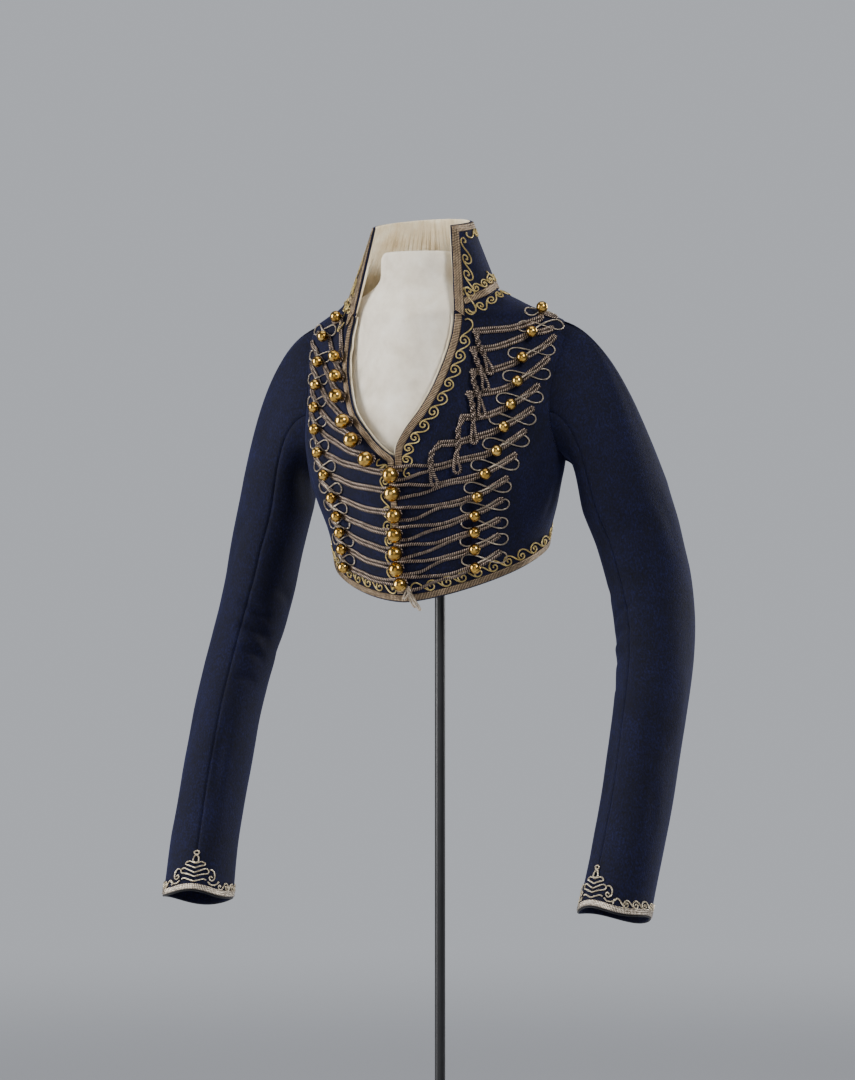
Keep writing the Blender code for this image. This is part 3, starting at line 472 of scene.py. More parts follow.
def follow(surface, path, s, w, soft=0):
    """Coordinates of points at a distance s along a path on a surface and w beside it, in millimetres.
    Beside is to the left of the path's way as seen from outside. Soft evens out the way over so many
    points of the path on both sides, as a running mean."""
    line = surface(path[:, 0], path[:, 1])
    run = line_length(line)
    a = np.interp(s, run, path[:, 0])
    b = np.interp(s, run, path[:, 1])
    way = unit(np.gradient(line, axis=0))
    if soft:
        total = np.cumsum(np.pad(way, ((soft + 1, soft), (0, 0)), mode="edge"), axis=0)
        way = unit(total[2 * soft + 1:] - total[:-2 * soft - 1])
    way = unit(np.stack([np.interp(s, run, way[:, c]) for c in range(3)], axis=-1))
    along, up = slopes(surface, a, b)
    side = unit(np.cross(unit(np.cross(along, up)), way))
    beyond = np.where(s < 0.0, s, np.where(s > run[-1], s - run[-1], 0.0))
    da, db = solve(along, up, side * (w * MM)[..., None] + way * (beyond * MM)[..., None])
    return a + da, b + db


def plait(x, s, pitch):
    """Height of a plait's strands: ridges that slant out from the middle on both sides, like chevrons."""
    return np.abs(np.sin(np.pi * (s / pitch + np.abs(x) * 0.55)))


def cord(mesh, surface, a, b, width, height, lift, pitch=0.0, sides=8, depth=0.18, ends=True):
    """A cord laid on a surface: an oval carried along a line of coordinates. Its pitch makes strands that
    turn round it or, on a flat cord, chevrons. The mark holds the length run and the place round it."""
    a, b = np.asarray(a, float), np.asarray(b, float)
    line = surface(a, b)
    normal = normal_of(surface, a, b)
    way = unit(np.gradient(line, axis=0))
    side = unit(np.cross(normal, way))
    normal = np.cross(way, side)
    run = line_length(line)
    turn = np.linspace(0.0, 2 * math.pi, sides, endpoint=False)[None, :]
    x, y = np.cos(turn), np.sin(turn)
    flat = width > 1.7 * height
    if pitch and flat:
        strand = plait(x, run[:, None], pitch) - 0.5
    elif pitch:
        strand = np.cos(2.0 * turn - 2.0 * math.pi * run[:, None] / pitch)
    else:
        strand = np.zeros((len(run), sides))
    size = 1.0 + depth * strand
    wide = np.broadcast_to(np.asarray(width, float), (len(run),))[:, None] * 0.5 * MM
    tall = np.broadcast_to(np.asarray(height, float), (len(run),))[:, None] * 0.5 * MM
    rise = np.broadcast_to(np.asarray(lift, float), (len(run),))[:, None] * MM + tall
    across = x * wide * (1.0 + 0.4 * depth * strand if flat else size)
    above = y * tall * size + rise
    grid = line[:, None] + side[:, None] * across[..., None] + normal[:, None] * above[..., None]
    mark = np.stack(np.broadcast_arrays(run[:, None] * MM, turn / (2 * math.pi)), axis=-1)
    mesh.add(grid, mark, around=True, ends=ends)
    return line + normal * rise[:, :1]


def band(mesh, surface, a, b, w0, w1, lift, thick, ribs=5, step_mark=0.0):
    """A flat ribbed band between two lines beside a path: lengthwise ribs with a groove between them."""
    count = ribs * 4 + 1
    share = np.linspace(0.0, 1.0, count)
    path = np.stack([np.asarray(a, float), np.asarray(b, float)], axis=-1)
    run = line_length(surface(path[:, 0], path[:, 1]))
    rows, marks = [], []
    s, w = np.meshgrid(run, w0 + (w1 - w0) * share, indexing="ij")
    aa, bb = follow(surface, path, s.ravel(), w.ravel())
    face = surface(aa, bb).reshape(len(run), count, 3)
    normal = normal_of(surface, aa, bb).reshape(len(run), count, 3)
    ridge = 0.5 - 0.5 * np.cos(2 * math.pi * share * ribs)
    slant = 0.5 + 0.5 * np.cos(2 * math.pi * (s / 2.4 + 0.5 * np.floor(share * ribs * 0.999)))
    top = lift + thick * (0.66 + 0.26 * ridge + 0.10 * slant)
    top[:, 0] = top[:, -1] = lift + 0.35 * thick
    outer = face + normal * (top * MM)[..., None]
    inner = face + normal * lift * MM
    mark = np.stack([s * MM, np.broadcast_to(share * abs(w1 - w0) * MM, s.shape)], axis=-1)
    mesh.wall(outer, inner, mark)


# Materials

def linear(code):
    """An sRGB hex colour as linear red, green, blue and alpha."""
    parts = [int(code[i:i + 2], 16) / 255.0 for i in (1, 3, 5)]
    return tuple(c / 12.92 if c <= 0.04045 else ((c + 0.055) / 1.055) ** 2.4 for c in parts) + (1.0,)


def node(tree, kind, settings=None, links=None, out=0):
    """Adds a node with its settings and links, and gives one of its outputs. Stops are the places and hex
    colours of a colour ramp."""
    made = tree.nodes.new(kind)
    for key, value in (settings or {}).items():
        if key == "stops":
            while len(made.color_ramp.elements) < len(value):
                made.color_ramp.elements.new(0.5)
            for element, (place, code) in zip(made.color_ramp.elements, value):
                element.position, element.color = place, linear(code)
        elif isinstance(key, int) or key in made.inputs:
            made.inputs[key].default_value = value
        else:
            setattr(made, key, value)
    for key, source in (links or {}).items():
        tree.links.new(source, made.inputs[key])
    return made.outputs[out]


def material(name, sockets):
    """A named material, its node tree and its shader's inputs, with constants set straight on them."""
    made = bpy.data.materials.new(name)
    made.use_nodes = True
    inputs = made.node_tree.nodes["Principled BSDF"].inputs
    for key, value in sockets.items():
        inputs[key].default_value = linear(value) if isinstance(value, str) else value
    return made, made.node_tree, inputs


NOISE, MATH, RAMP, BUMP = "ShaderNodeTexNoise", "ShaderNodeMath", "ShaderNodeValToRGB", "ShaderNodeBump"


def broadcloth():
    """Fulled, napped and pressed wool dyed indigo. The nap hides the weave, so the eye sees almost black
    cloth face on, a soft blue bloom at grazing angles, and fine lint and rubbed patches. The nap's
    streaks are about 2 mm long, its fibres 0.7 mm and the rubbed patches 40 mm."""
    made, tree, shader = material("indigo broadcloth", {
        "Roughness": 0.86, "Sheen Weight": 0.16, "Sheen Roughness": 0.32, "Sheen Tint": "#545fc0",
        "Specular IOR Level": 0.2})
    where = node(tree, "ShaderNodeTexCoord", out="Object")
    lying = node(tree, "ShaderNodeMapping", {"Scale": (1.0, 1.0, 0.6)}, {"Vector": where})
    blotch = node(tree, NOISE, {"Scale": 25.0, "Detail": 4.0, "Roughness": 0.6}, {"Vector": where})
    nap = node(tree, NOISE, {"Scale": 560.0, "Detail": 3.0, "Roughness": 0.65}, {"Vector": lying})
    fibre = node(tree, NOISE, {"Scale": 1450.0, "Detail": 2.0, "Roughness": 0.7}, {"Vector": lying})
    mixed = node(tree, MATH, {"operation": "MULTIPLY_ADD", 1: 0.35}, {0: blotch, 2: nap})
    mixed = node(tree, MATH, {"operation": "MULTIPLY_ADD", 1: 0.35}, {0: fibre, 2: mixed})
    mixed = node(tree, MATH, {"operation": "MULTIPLY", 1: 0.588}, {0: mixed})
    colour = node(tree, RAMP, {"stops": ((0.37, "#05060f"), (0.50, "#090b20"), (0.63, "#12163a"))}, {"Fac": mixed})
    tree.links.new(colour, shader["Base Color"])
    height = node(tree, MATH, {"operation": "MULTIPLY_ADD", 1: 0.7}, {0: fibre, 2: nap})
    rough = node(tree, BUMP, {"Strength": 0.6, "Distance": 0.0007}, {"Height": height})
    tree.links.new(rough, shader["Normal"])
    return made


def cotton(name, stops, thread):
    """Washed plain cotton. The warp and weft show as a fine grid of so many threads a metre, and patches
    of 25 mm are a little yellower or whiter."""
    made, tree, shader = material(name, {"Roughness": 0.9, "Sheen Weight": 0.12, "Specular IOR Level": 0.25})
    where = node(tree, "ShaderNodeTexCoord", out="Object")
    patch = node(tree, NOISE, {"Scale": 40.0, "Detail": 5.0, "Roughness": 0.6}, {"Vector": where})
    tree.links.new(node(tree, RAMP, {"stops": stops}, {"Fac": patch}), shader["Base Color"])
    down = node(tree, "ShaderNodeMapping", {"Scale": (1.0, 1.0, 0.08)}, {"Vector": where})
    over = node(tree, "ShaderNodeMapping", {"Scale": (0.08, 0.08, 1.0)}, {"Vector": where})
    warp = node(tree, NOISE, {"Scale": thread, "Detail": 2.0}, {"Vector": down})
    weft = node(tree, NOISE, {"Scale": thread, "Detail": 2.0}, {"Vector": over})
    height = node(tree, MATH, {"operation": "ADD"}, {0: warp, 1: weft})
    rough = node(tree, BUMP, {"Strength": 0.55, "Distance": 0.0005}, {"Height": height})
    tree.links.new(rough, shader["Normal"])
    return made


def metal_thread(name, stops, pitch, metallic, roughness):
    """Flat metal wire wound on silk and plaited. The strands slant across the cord once every pitch, in
    metres. The colour is darker where the wire has tarnished, in patches of 7 mm. The strands are also
    painted into the colour: painted shade in the grooves between them, and a painted highlight where each turns up."""
    made, tree, shader = material(name, {"Roughness": roughness, "Metallic": metallic})
    marks = node(tree, "ShaderNodeUVMap", {"uv_map": "along"})
    along = node(tree, "ShaderNodeSeparateXYZ", {}, {"Vector": marks}, "X")
    round_it = node(tree, "ShaderNodeSeparateXYZ", {}, {"Vector": marks}, "Y")
    turns = node(tree, MATH, {"operation": "MULTIPLY", 1: 2.0}, {0: round_it})
    turns = node(tree, MATH, {"operation": "MULTIPLY_ADD", 1: 1.0 / pitch}, {0: along, 2: turns})
    phase = node(tree, MATH, {"operation": "MULTIPLY", 1: 2.0 * math.pi}, {0: turns})
    strand = node(tree, MATH, {"operation": "SINE"}, {0: phase})
    strand = node(tree, MATH, {"operation": "MULTIPLY_ADD", 1: 0.5, 2: 0.5}, {0: strand})
    where = node(tree, "ShaderNodeTexCoord", out="Object")
    tarnish = node(tree, NOISE, {"Scale": 140.0, "Detail": 4.0, "Roughness": 0.65}, {"Vector": where})
    grit = node(tree, NOISE, {"Scale": 1700.0, "Detail": 2.0, "Roughness": 0.6}, {"Vector": where})
    tarnish_and_painted_light = node(tree, MATH, {"operation": "MULTIPLY", 1: 0.26}, {0: grit})
    tarnish_and_painted_light = node(tree, MATH, {"operation": "MULTIPLY_ADD", 1: 0.36}, {0: tarnish, 2: tarnish_and_painted_light})
    # The strands' sine darkens the colour in the grooves and lightens it on the crests: painted shade and painted
    # highlight, added to the tarnish.
    tarnish_and_painted_light = node(tree, MATH, {"operation": "MULTIPLY_ADD", 1: 0.38}, {0: strand, 2: tarnish_and_painted_light})
    tree.links.new(node(tree, RAMP, {"stops": stops}, {"Fac": tarnish_and_painted_light}), shader["Base Color"])
    height = node(tree, MATH, {"operation": "MULTIPLY_ADD", 1: 0.5}, {0: grit, 2: strand})
    rough = node(tree, BUMP, {"Strength": 0.7, "Distance": 0.0004}, {"Height": height})
    tree.links.new(rough, shader["Normal"])
    return made


def gilt_brass():
    """Stamped, gilded and polished brass. It mirrors the lights, but it is rubbed and toned brown in
    patches of 8 mm, with fine dulling of 1.5 mm."""
    made, tree, shader = material("gilt brass", {"Metallic": 1.0})
    where = node(tree, "ShaderNodeTexCoord", out="Object")
    worn = node(tree, NOISE, {"Scale": 130.0, "Detail": 4.0, "Roughness": 0.6}, {"Vector": where})
    stops = ((0.34, "#85632e"), (0.50, "#b48f47"), (0.66, "#cfae66"))
    tree.links.new(node(tree, RAMP, {"stops": stops}, {"Fac": worn}), shader["Base Color"])
    fine = node(tree, NOISE, {"Scale": 700.0, "Detail": 3.0, "Roughness": 0.6}, {"Vector": where})
    dull = node(tree, MATH, {"operation": "MULTIPLY_ADD", 1: 0.14, 2: 0.13}, {0: fine})
    tree.links.new(dull, shader["Roughness"])
    rough = node(tree, BUMP, {"Strength": 0.12, "Distance": 0.0002}, {"Height": worn})
    tree.links.new(rough, shader["Normal"])
    return made


def black_enamel():
    """Stoved enamel on steel: satin black with an orange-peel of 2.5 mm, and slightly greyer where hands
    and dust have worn it."""
    made, tree, shader = material("black stoved enamel", {"Roughness": 0.42, "Specular IOR Level": 0.45})
    where = node(tree, "ShaderNodeTexCoord", out="Object")
    wear = node(tree, NOISE, {"Scale": 18.0, "Detail": 5.0, "Roughness": 0.6}, {"Vector": where})
    stops = ((0.35, "#0b0b0d"), (0.70, "#18181b"))
    tree.links.new(node(tree, RAMP, {"stops": stops}, {"Fac": wear}), shader["Base Color"])
    peel = node(tree, NOISE, {"Scale": 420.0}, {"Vector": where})
    rough = node(tree, BUMP, {"Strength": 0.25, "Distance": 0.0003}, {"Height": peel})
    tree.links.new(rough, shader["Normal"])
    return made


def pale_paper():
    """Matt background paper with a tooth of 3 mm. Away from the stand it thins out, by a smooth step of the
    distance from the axis, so that the floor meets the ground behind it with no line."""
    made, tree, shader = material("pale paper", {"Roughness": 0.95, "Specular IOR Level": 0.1,
                                                 "Base Color": "#c3c4ca"})
    where = node(tree, "ShaderNodeTexCoord", out="Object")
    grain = node(tree, NOISE, {"Scale": 300.0}, {"Vector": where})
    rough = node(tree, BUMP, {"Strength": 0.1, "Distance": 0.0002}, {"Height": grain})
    tree.links.new(rough, shader["Normal"])
    away = node(tree, "ShaderNodeVectorMath", {"operation": "LENGTH"}, {0: where}, "Value")
    left = node(tree, "ShaderNodeMapRange", {"interpolation_type": "SMOOTHSTEP", "From Min": FLOOR_FADES[0],
                                             "From Max": FLOOR_FADES[1], "To Min": 1.0, "To Max": 0.0},
                {"Value": away}, "Result")
    tree.links.new(left, shader["Alpha"])
    return made


CLOTH = broadcloth()
LINING = cotton("cream cotton twill lining", ((0.30, "#d4c09a"), (0.52, "#e8d9ba"), (0.72, "#f6eed9")), 1100.0)
JERSEY = cotton("unbleached cotton jersey", ((0.30, "#d3c8b4"), (0.52, "#e3dac8"), (0.72, "#eee8da")), 1500.0)
SILVER_GILT = metal_thread("tarnished silver-gilt plait",
                           ((0.32, "#0e0a08"), (0.52, "#3d3028"), (0.70, "#a89688")), 0.0024, 0.8, 0.38)
EDGING = metal_thread("silver-gilt woven edging",
                      ((0.30, "#241b15"), (0.50, "#594938"), (0.70, "#a69176")), 0.0018, 0.8, 0.40)
THIN_CORD = metal_thread("silver-gilt russia cord",
                         ((0.30, "#4b4036"), (0.50, "#978876"), (0.70, "#d6c9b5")), 0.0015, 0.75, 0.38)
GOLD_CORD = metal_thread("gold bullion cord",
                         ((0.30, "#5a4522"), (0.50, "#b5984f"), (0.70, "#ecdba0")), 0.0016, 0.8, 0.38)
CUFF_EDGING = metal_thread("bright silver-gilt woven edging",
                           ((0.30, "#4a4038"), (0.50, "#948777"), (0.70, "#ded3c2")), 0.0018, 0.85, 0.36)
CUFF_CORD = metal_thread("pale silver-gilt cord",
                         ((0.30, "#63543f"), (0.50, "#b4a487"), (0.70, "#f0e6cf")), 0.0015, 0.8, 0.36)
# A black ring at each cuff's cut edge, as painted shade of the cuff's opening.
CUFF_OPENING_SHADE = cotton("black painted cuff shade", ((0.30, "#08080a"), (0.52, "#0e0e12"), (0.72, "#17171c")), 1800.0)
GILT = gilt_brass()
ENAMEL = black_enamel()


# Cloth pieces

def cloth_wall(mesh, surface, a, b, thick, depth=0.0):
    """A cloth wall under a surface: its outer side lies the depth inside it. Gives that outer side."""
    face, normal = surface(a, b), normal_of(surface, a, b)
    outer = face - normal * (depth * MM)
    mesh.wall(outer, face - normal * ((depth + thick) * MM))
    return outer


def body_panels():
    """Fronts from the front edge to the armhole and side seam, and the back between the two seams. Each is
    the body's face between two angles that vary with the level."""
    levels = np.concatenate([np.linspace(HEM_FRONT, ARMPIT, 50), np.linspace(ARMPIT + 1.5, SHOULDER_TIP, 58)[1:],
                             np.linspace(SHOULDER_TIP + 2.0, 1334.0, 14)])
    for side, sign, column in (("left", 1.0, 1), ("right", -1.0, 2)):
        share = np.linspace(0.0, 1.0, 64)[None, :]
        inner = neck_edge(column, levels)[:, None] + 0.08 * sign
        outer = sign * (smooth_read(ARMHOLE, 1, levels) - 0.08)[:, None]
        angle = inner + (outer - inner) * share
        mesh = Mesh()
        face = cloth_wall(mesh, body_face, angle, above_hem(angle, levels[:, None]), 2.0)
        panel = mesh.make("front_" + side + "_cloth", CLOTH, "broadcloth", ["front_" + side])
    share = np.linspace(0.0, 1.0, 92)[None, :]
    first = (smooth_read(ARMHOLE, 2, levels) + 0.08)[:, None]
    angle = first + (360.0 - 2.0 * first) * share
    mesh = Mesh()
    face = cloth_wall(mesh, body_face, angle, above_hem(angle, levels[:, None]), 2.0)
    mesh.make("back_cloth", CLOTH, "broadcloth", ["back"])


def lining_face(angle, height):
    """The body's face with the lining's own soft puckers across it: two sines of the height and the angle,
    moved along the body's outward direction."""
    height, angle = np.asarray(height, float), np.asarray(angle, float)
    pucker = 0.5 * np.sin(height / 3.1 + angle * 0.9) * (0.6 + 0.4 * np.sin(height / 11.0))
    outward = normal_of(body_point, angle, np.clip(height, BODY[0, 0] + 1.0, BODY[-1, 0] - 1.0))
    return body_face(angle, height) + outward * (pucker * MM)[..., None]


def front_linings():
    """Cream cotton facings behind the open neckline, puckered where they were felled to the edge."""
    levels = np.linspace(1146.0, 1304.0, 120)[:, None]
    for side, sign, column in (("left", 1.0, 1), ("right", -1.0, 2)):
        edge = neck_edge(column, levels)
        angle = edge + sign * (np.linspace(-0.9, 17.0, 26)[None, :])
        mesh = Mesh()
        face = cloth_wall(mesh, lining_face, angle, np.broadcast_to(levels, angle.shape), 1.0, 3.0)
        facing = mesh.make("front_lining_" + side + "_cloth", LINING, "lining", ["front_lining_" + side])


def sleeves():
    """Each sleeve in two pieces, with the forearm and hind-arm seams as narrow valleys between them. The
    valley's depth falls off as a bell of the angle from the seam. A sine of the share draws the columns
    together at the seams."""
    place = np.concatenate([np.linspace(-1.0, 0.0, 34), np.linspace(0.0, 10.0, 156)[1:]])[:, None]
    for part, first, last, count in (("top", HIND_SEAM - 360.0, FOREARM_SEAM, 74),
                                     ("under", FOREARM_SEAM, HIND_SEAM, 48)):
        share = np.linspace(0.0, 1.0, count)[None, :]
        share = share - 0.7 * np.sin(2.0 * math.pi * share) / (2.0 * math.pi)
        turn = first + 0.25 + (last - first - 0.5) * share
        face, normal = sleeve_face(turn, place), normal_of(sleeve_face, turn, place, 0.3, 0.02)
        edge = np.minimum(turn - first, last - turn)
        sink = 1.1 * np.exp(-(edge / 2.2) ** 2)
        outer = face - normal * (sink * MM)[..., None]
        inner = face - normal * (2.0 * MM)
        for side in ("left", "right"):
            mesh = Mesh()
            if side == "left":
                mesh.wall(outer, inner)
            else:
                mesh.wall(mirror(outer), mirror(inner))
            name = "sleeve_" + part + "_" + side
            mesh.make(name + "_cloth", CLOTH, "broadcloth", [name])


def collar_pieces():
    """The standing collar and its lining. The lining is quilted in soft uneven gathers round the back: a
    sum of sines of the angle, which fade towards the collar's two ends and its top and bottom."""
    start = smooth_read(NECKLINE, 1, COLLAR_START) + 0.3
    end = 360.0 + smooth_read(NECKLINE, 2, COLLAR_START) - 0.3
    angle = np.linspace(start, end, 320)[None, :]
    share = np.linspace(0.0, 1.0, 24)[:, None]
    face, normal = collar_face(angle, share), normal_of(collar_face, angle, share, 0.3, 0.01)
    mesh = Mesh()
    mesh.wall(face, face - normal * 2.0 * MM)
    mesh.make("collar_cloth", CLOTH, "broadcloth", ["collar"])
    angle = np.linspace(start, end, 420)[None, :]
    share = np.linspace(-0.05, 1.0, 42)[:, None]
    face, normal = collar_face(angle, share), normal_of(collar_face, angle, share, 0.3, 0.01)
    gather = np.sin(angle * 0.52 + 1.7 * np.sin(angle * 0.13) + 2.6 * share)
    gather = gather + 0.7 * np.sin(angle * 1.13 + 5.0 * share + 1.0) + 0.45 * np.sin(angle * 2.3 - 4.0 * share)
    back = np.clip(np.minimum(angle - start - 8.0, end - 8.0 - angle) / 30.0, 0.15, 1.0)
    rounded = np.sin(np.pi * np.clip(share * 0.96 + 0.02, 0.0, 1.0)) ** 0.5
    swell = (1.5 + 1.05 * gather * back) * rounded
    roll = 0.9 * np.clip((share - 0.94) / 0.06, 0.0, 1.0)
    outer = face - normal * 2.2 * MM
    inner = face - normal * ((3.2 + np.clip(swell, 0.0, 4.6)) * MM)[..., None]
    lift = np.array([0.0, 0.0, 1.0]) * (roll * MM)[..., None]
    mesh = Mesh()
    mesh.wall(outer + lift, inner + lift)
    mesh.make("collar_lining_cloth", LINING, "lining", ["collar_lining"])


body_panels()
front_linings()
sleeves()
collar_pieces()


# Braid edging

def smooth_step(x):
    """Rises from 0 to 1 with level ends as x does."""
    x = np.clip(x, 0.0, 1.0)
    return x * x * (3.0 - 2.0 * x)


def edging_piece(name, surface, path, w0, w1, lift, thick, ribs, replaced, step=1.2, finish=None):
    """A flat ribbed edging beside a path of coordinates."""
    line = even(path, 0.5)
    run = line_length(surface(line[:, 0], line[:, 1]))
    at = np.linspace(0.0, run[-1], int(run[-1] / step))
    a, b = np.interp(at, run, line[:, 0]), np.interp(at, run, line[:, 1])
    mesh = Mesh()
    band(mesh, surface, a, b, w0, w1, lift, thick, ribs)
    return mesh.make(name, finish or EDGING, "braid", replaced)


def front_edge_path(column, low, high, count=60):
    """A front's inner edge between two heights, as angles and heights."""
    level = np.linspace(low, high, count)
    return np.stack([neck_edge(column, level), level], axis=-1)


def edgings():
    """Edging up each front edge and neckline, round the hem, and round the collar's edges and seam."""
    edging_piece("edging_front_left", body_face, front_edge_path(1, 1128.0, 1305.0), -0.9, -8.6, 0.5, 1.3, 3,
                 ["edge_braid_left"])
    edging_piece("edging_front_right", body_face, front_edge_path(2, 991.0, 1305.0), 0.9, 8.6, 0.5, 1.3, 3,
                 ["edge_braid_right"])
    angle = np.linspace(CLOSING + 0.3, 360.0 + CLOSING - 0.3, 220)
    path = np.stack([angle, hem_height(angle)], axis=-1)
    edging_piece("edging_hem", body_face, path, 0.9, 7.9, 0.5, 1.3, 3, ["hem_braid"])
    start = smooth_read(NECKLINE, 1, COLLAR_START) + 0.3
    end = 360.0 + smooth_read(NECKLINE, 2, COLLAR_START) - 0.3
    mesh = Mesh()
    round_it = np.linspace(start, end, 330)
    band(mesh, collar_face, round_it, np.full(330, 1.0), -0.8, -8.6, 0.4, 1.3, 3)
    rise = np.linspace(0.0, 0.955, 90)
    band(mesh, collar_face, np.full(90, start), rise, -0.8, -8.6, 0.55, 1.3, 3)
    band(mesh, collar_face, np.full(90, end), rise, 0.8, 8.6, 0.55, 1.3, 3)
    mesh.make("edging_collar", EDGING, "braid", ["collar_braid"])
    mesh = Mesh()
    band(mesh, collar_face, round_it[8:-8], np.full(314, 0.0), 0.4, 8.4, 0.4, 1.3, 3)
    mesh.make("edging_collar_seam", EDGING, "braid", ["collar_seam_braid"])


def cuff_face(turn, up):
    """The left sleeve near the cuff, by turn and by millimetres up from the cuff's edge."""
    turn, up = np.broadcast_arrays(np.asarray(turn, float), np.asarray(up, float))
    wide = np.linspace(-20.0, 380.0, 201)
    rings = [sleeve_plain(wide, np.full(201, p)) for p in (10.0, 9.0, 8.0)]
    first, second = (np.linalg.norm(rings[i] - rings[i + 1], axis=-1) / MM for i in (0, 1))
    first, second = np.interp(turn, wide, first), np.interp(turn, wide, second)
    place = np.where(up < first, 10.0 - up / first, 9.0 - (up - first) / second)
    return sleeve_face(turn, place)


def cuff_out(turn, up):
    """The cuff's surface with its turn reversed, so that its outward side is the outer one."""
    return cuff_face(-np.asarray(turn, float) % 360.0, up)


def both_sides(mesh, name, finish, slot, replaced=""):
    """Makes a mesh of the wearer's left and its mirror image on the right."""
    for side, flip in (("left", 1.0), ("right", -1.0)):
        copy = Mesh()
        copy.faces, copy.marks, copy.count = list(mesh.faces), list(mesh.marks), mesh.count
        copy.points = [g * np.array([flip, 1.0, 1.0]) for g in mesh.points]
        copy.make(name + "_" + side, finish, slot, [replaced + "_" + side] if replaced else ())


def cuff_edging():
    """Edging round each cuff, and a black ring round its cut edge, which is painted shade of the cuff's opening."""
    turn = np.linspace(1.0, 360.99, 240)
    mesh = Mesh()
    band(mesh, cuff_out, turn, np.full(240, 0.6), 0.6, 7.6, 0.5, 1.3, 3)
    both_sides(mesh, "edging_cuff", CUFF_EDGING, "braid", "cuff_braid")
    # A black ring sunk into the cuff's cut edge: painted shade where the cuff's opening is dark.
    mesh = Mesh()
    cord(mesh, cuff_out, np.linspace(0.0, 360.0, 240), np.full(240, 0.1), 2.4, 2.4, -1.6, ends=False)
    both_sides(mesh, "cuff_opening_shade", CUFF_OPENING_SHADE, "broadcloth")


# Frogging: the same rows as the solids', top to bottom, in degrees and millimetres
# outer ball, tip of the finger, centre ball, inner end of the left bar
FROGS = np.array([
    (76.0, 1307.0, 83.0, 1302.0, -41.5, 1257.0, 39.5, 1285.5),
    (61.5, 1284.0, 74.0, 1290.0, -37.0, 1234.0, 38.0, 1264.5),
    (56.5, 1254.0, 74.0, 1281.0, -32.5, 1211.0, 38.0, 1239.5),
    (54.5, 1227.0, 69.0, 1256.0, -24.5, 1184.0, 36.0, 1214.5),
    (52.0, 1201.0, 64.5, 1225.0, -18.5, 1164.0, 33.5, 1188.0),
    (49.5, 1177.0, 62.5, 1199.0, -10.5, 1143.0, 24.0, 1158.5),
    (47.0, 1151.0, 60.0, 1174.0, 1.5, 1126.0, 6.0, 1124.0),
    (42.5, 1126.0, 56.5, 1147.0, 1.5, 1106.0, 6.0, 1104.0),
    (39.5, 1101.0, 53.5, 1121.0, 1.5, 1081.0, 6.0, 1079.0),
    (39.0, 1080.0, 52.0, 1097.0, 1.0, 1059.0, 6.0, 1057.0),
    (39.5, 1061.0, 52.0, 1075.0, 0.5, 1038.0, 6.0, 1036.0),
    (40.0, 1041.5, 53.0, 1057.0, 0.5, 1020.0, 6.0, 1018.0),
    (40.5, 1020.5, 54.5, 1038.0, 2.0, 1003.0, 7.0, 1001.0),
])
RIGHT_SHIFT = {0: -26.0, 1: -5.0}
FROG_SAG = 4.0
OPEN_ROWS = 6
OUTER_BALL = 6.6
CENTRE_BALLS = (7.0, 7.5, 8.0, 8.6, 9.0, 9.0, 9.2, 9.2, 9.0, 9.0, 8.7, 8.7, 8.0)
OVER_BRAID_LIFT, CORD_MIDDLE, SOLID_GAP = 2.9, 2.4, 0.35
CORD_WIDE, CORD_TALL, CORD_LIFT, PLAIT = 3.7, 2.0, 0.8, 3.0
PAIR = 2.05


def mirrored_body(angle, height):
    """The body's face for the wearer's right, read with positive angles, so that one frog serves both."""
    return body_face(-np.asarray(angle, float), height)


def frog_centre(number, side):
    """Centre line of a frog from its inner end, along its sagging bar, past its outer ball, to its tip."""
    row = FROGS[number]
    outer, tip, centre_ball, left_end = row[0:2].copy(), row[2:4].copy(), row[4:6], row[6:8]
    if side == "right":
        outer[0] += RIGHT_SHIFT.get(number, 0.0)
        tip[0] += RIGHT_SHIFT.get(number, 0.0)
        inner = np.array([-centre_ball[0], centre_ball[1]])
    else:
        inner = left_end if number < OPEN_ROWS else centre_ball
    share = np.array([0.0, 0.2, 0.4, 0.6, 0.8, 1.0])[:, None]
    bar = inner + (outer - inner) * share + np.array([0.0, -FROG_SAG]) * 4.0 * share * (1.0 - share)
    path = np.concatenate([bar, [0.5 * (outer + tip) + (0.0, -0.8)], [tip]])
    return even(path, 0.6), outer, tip


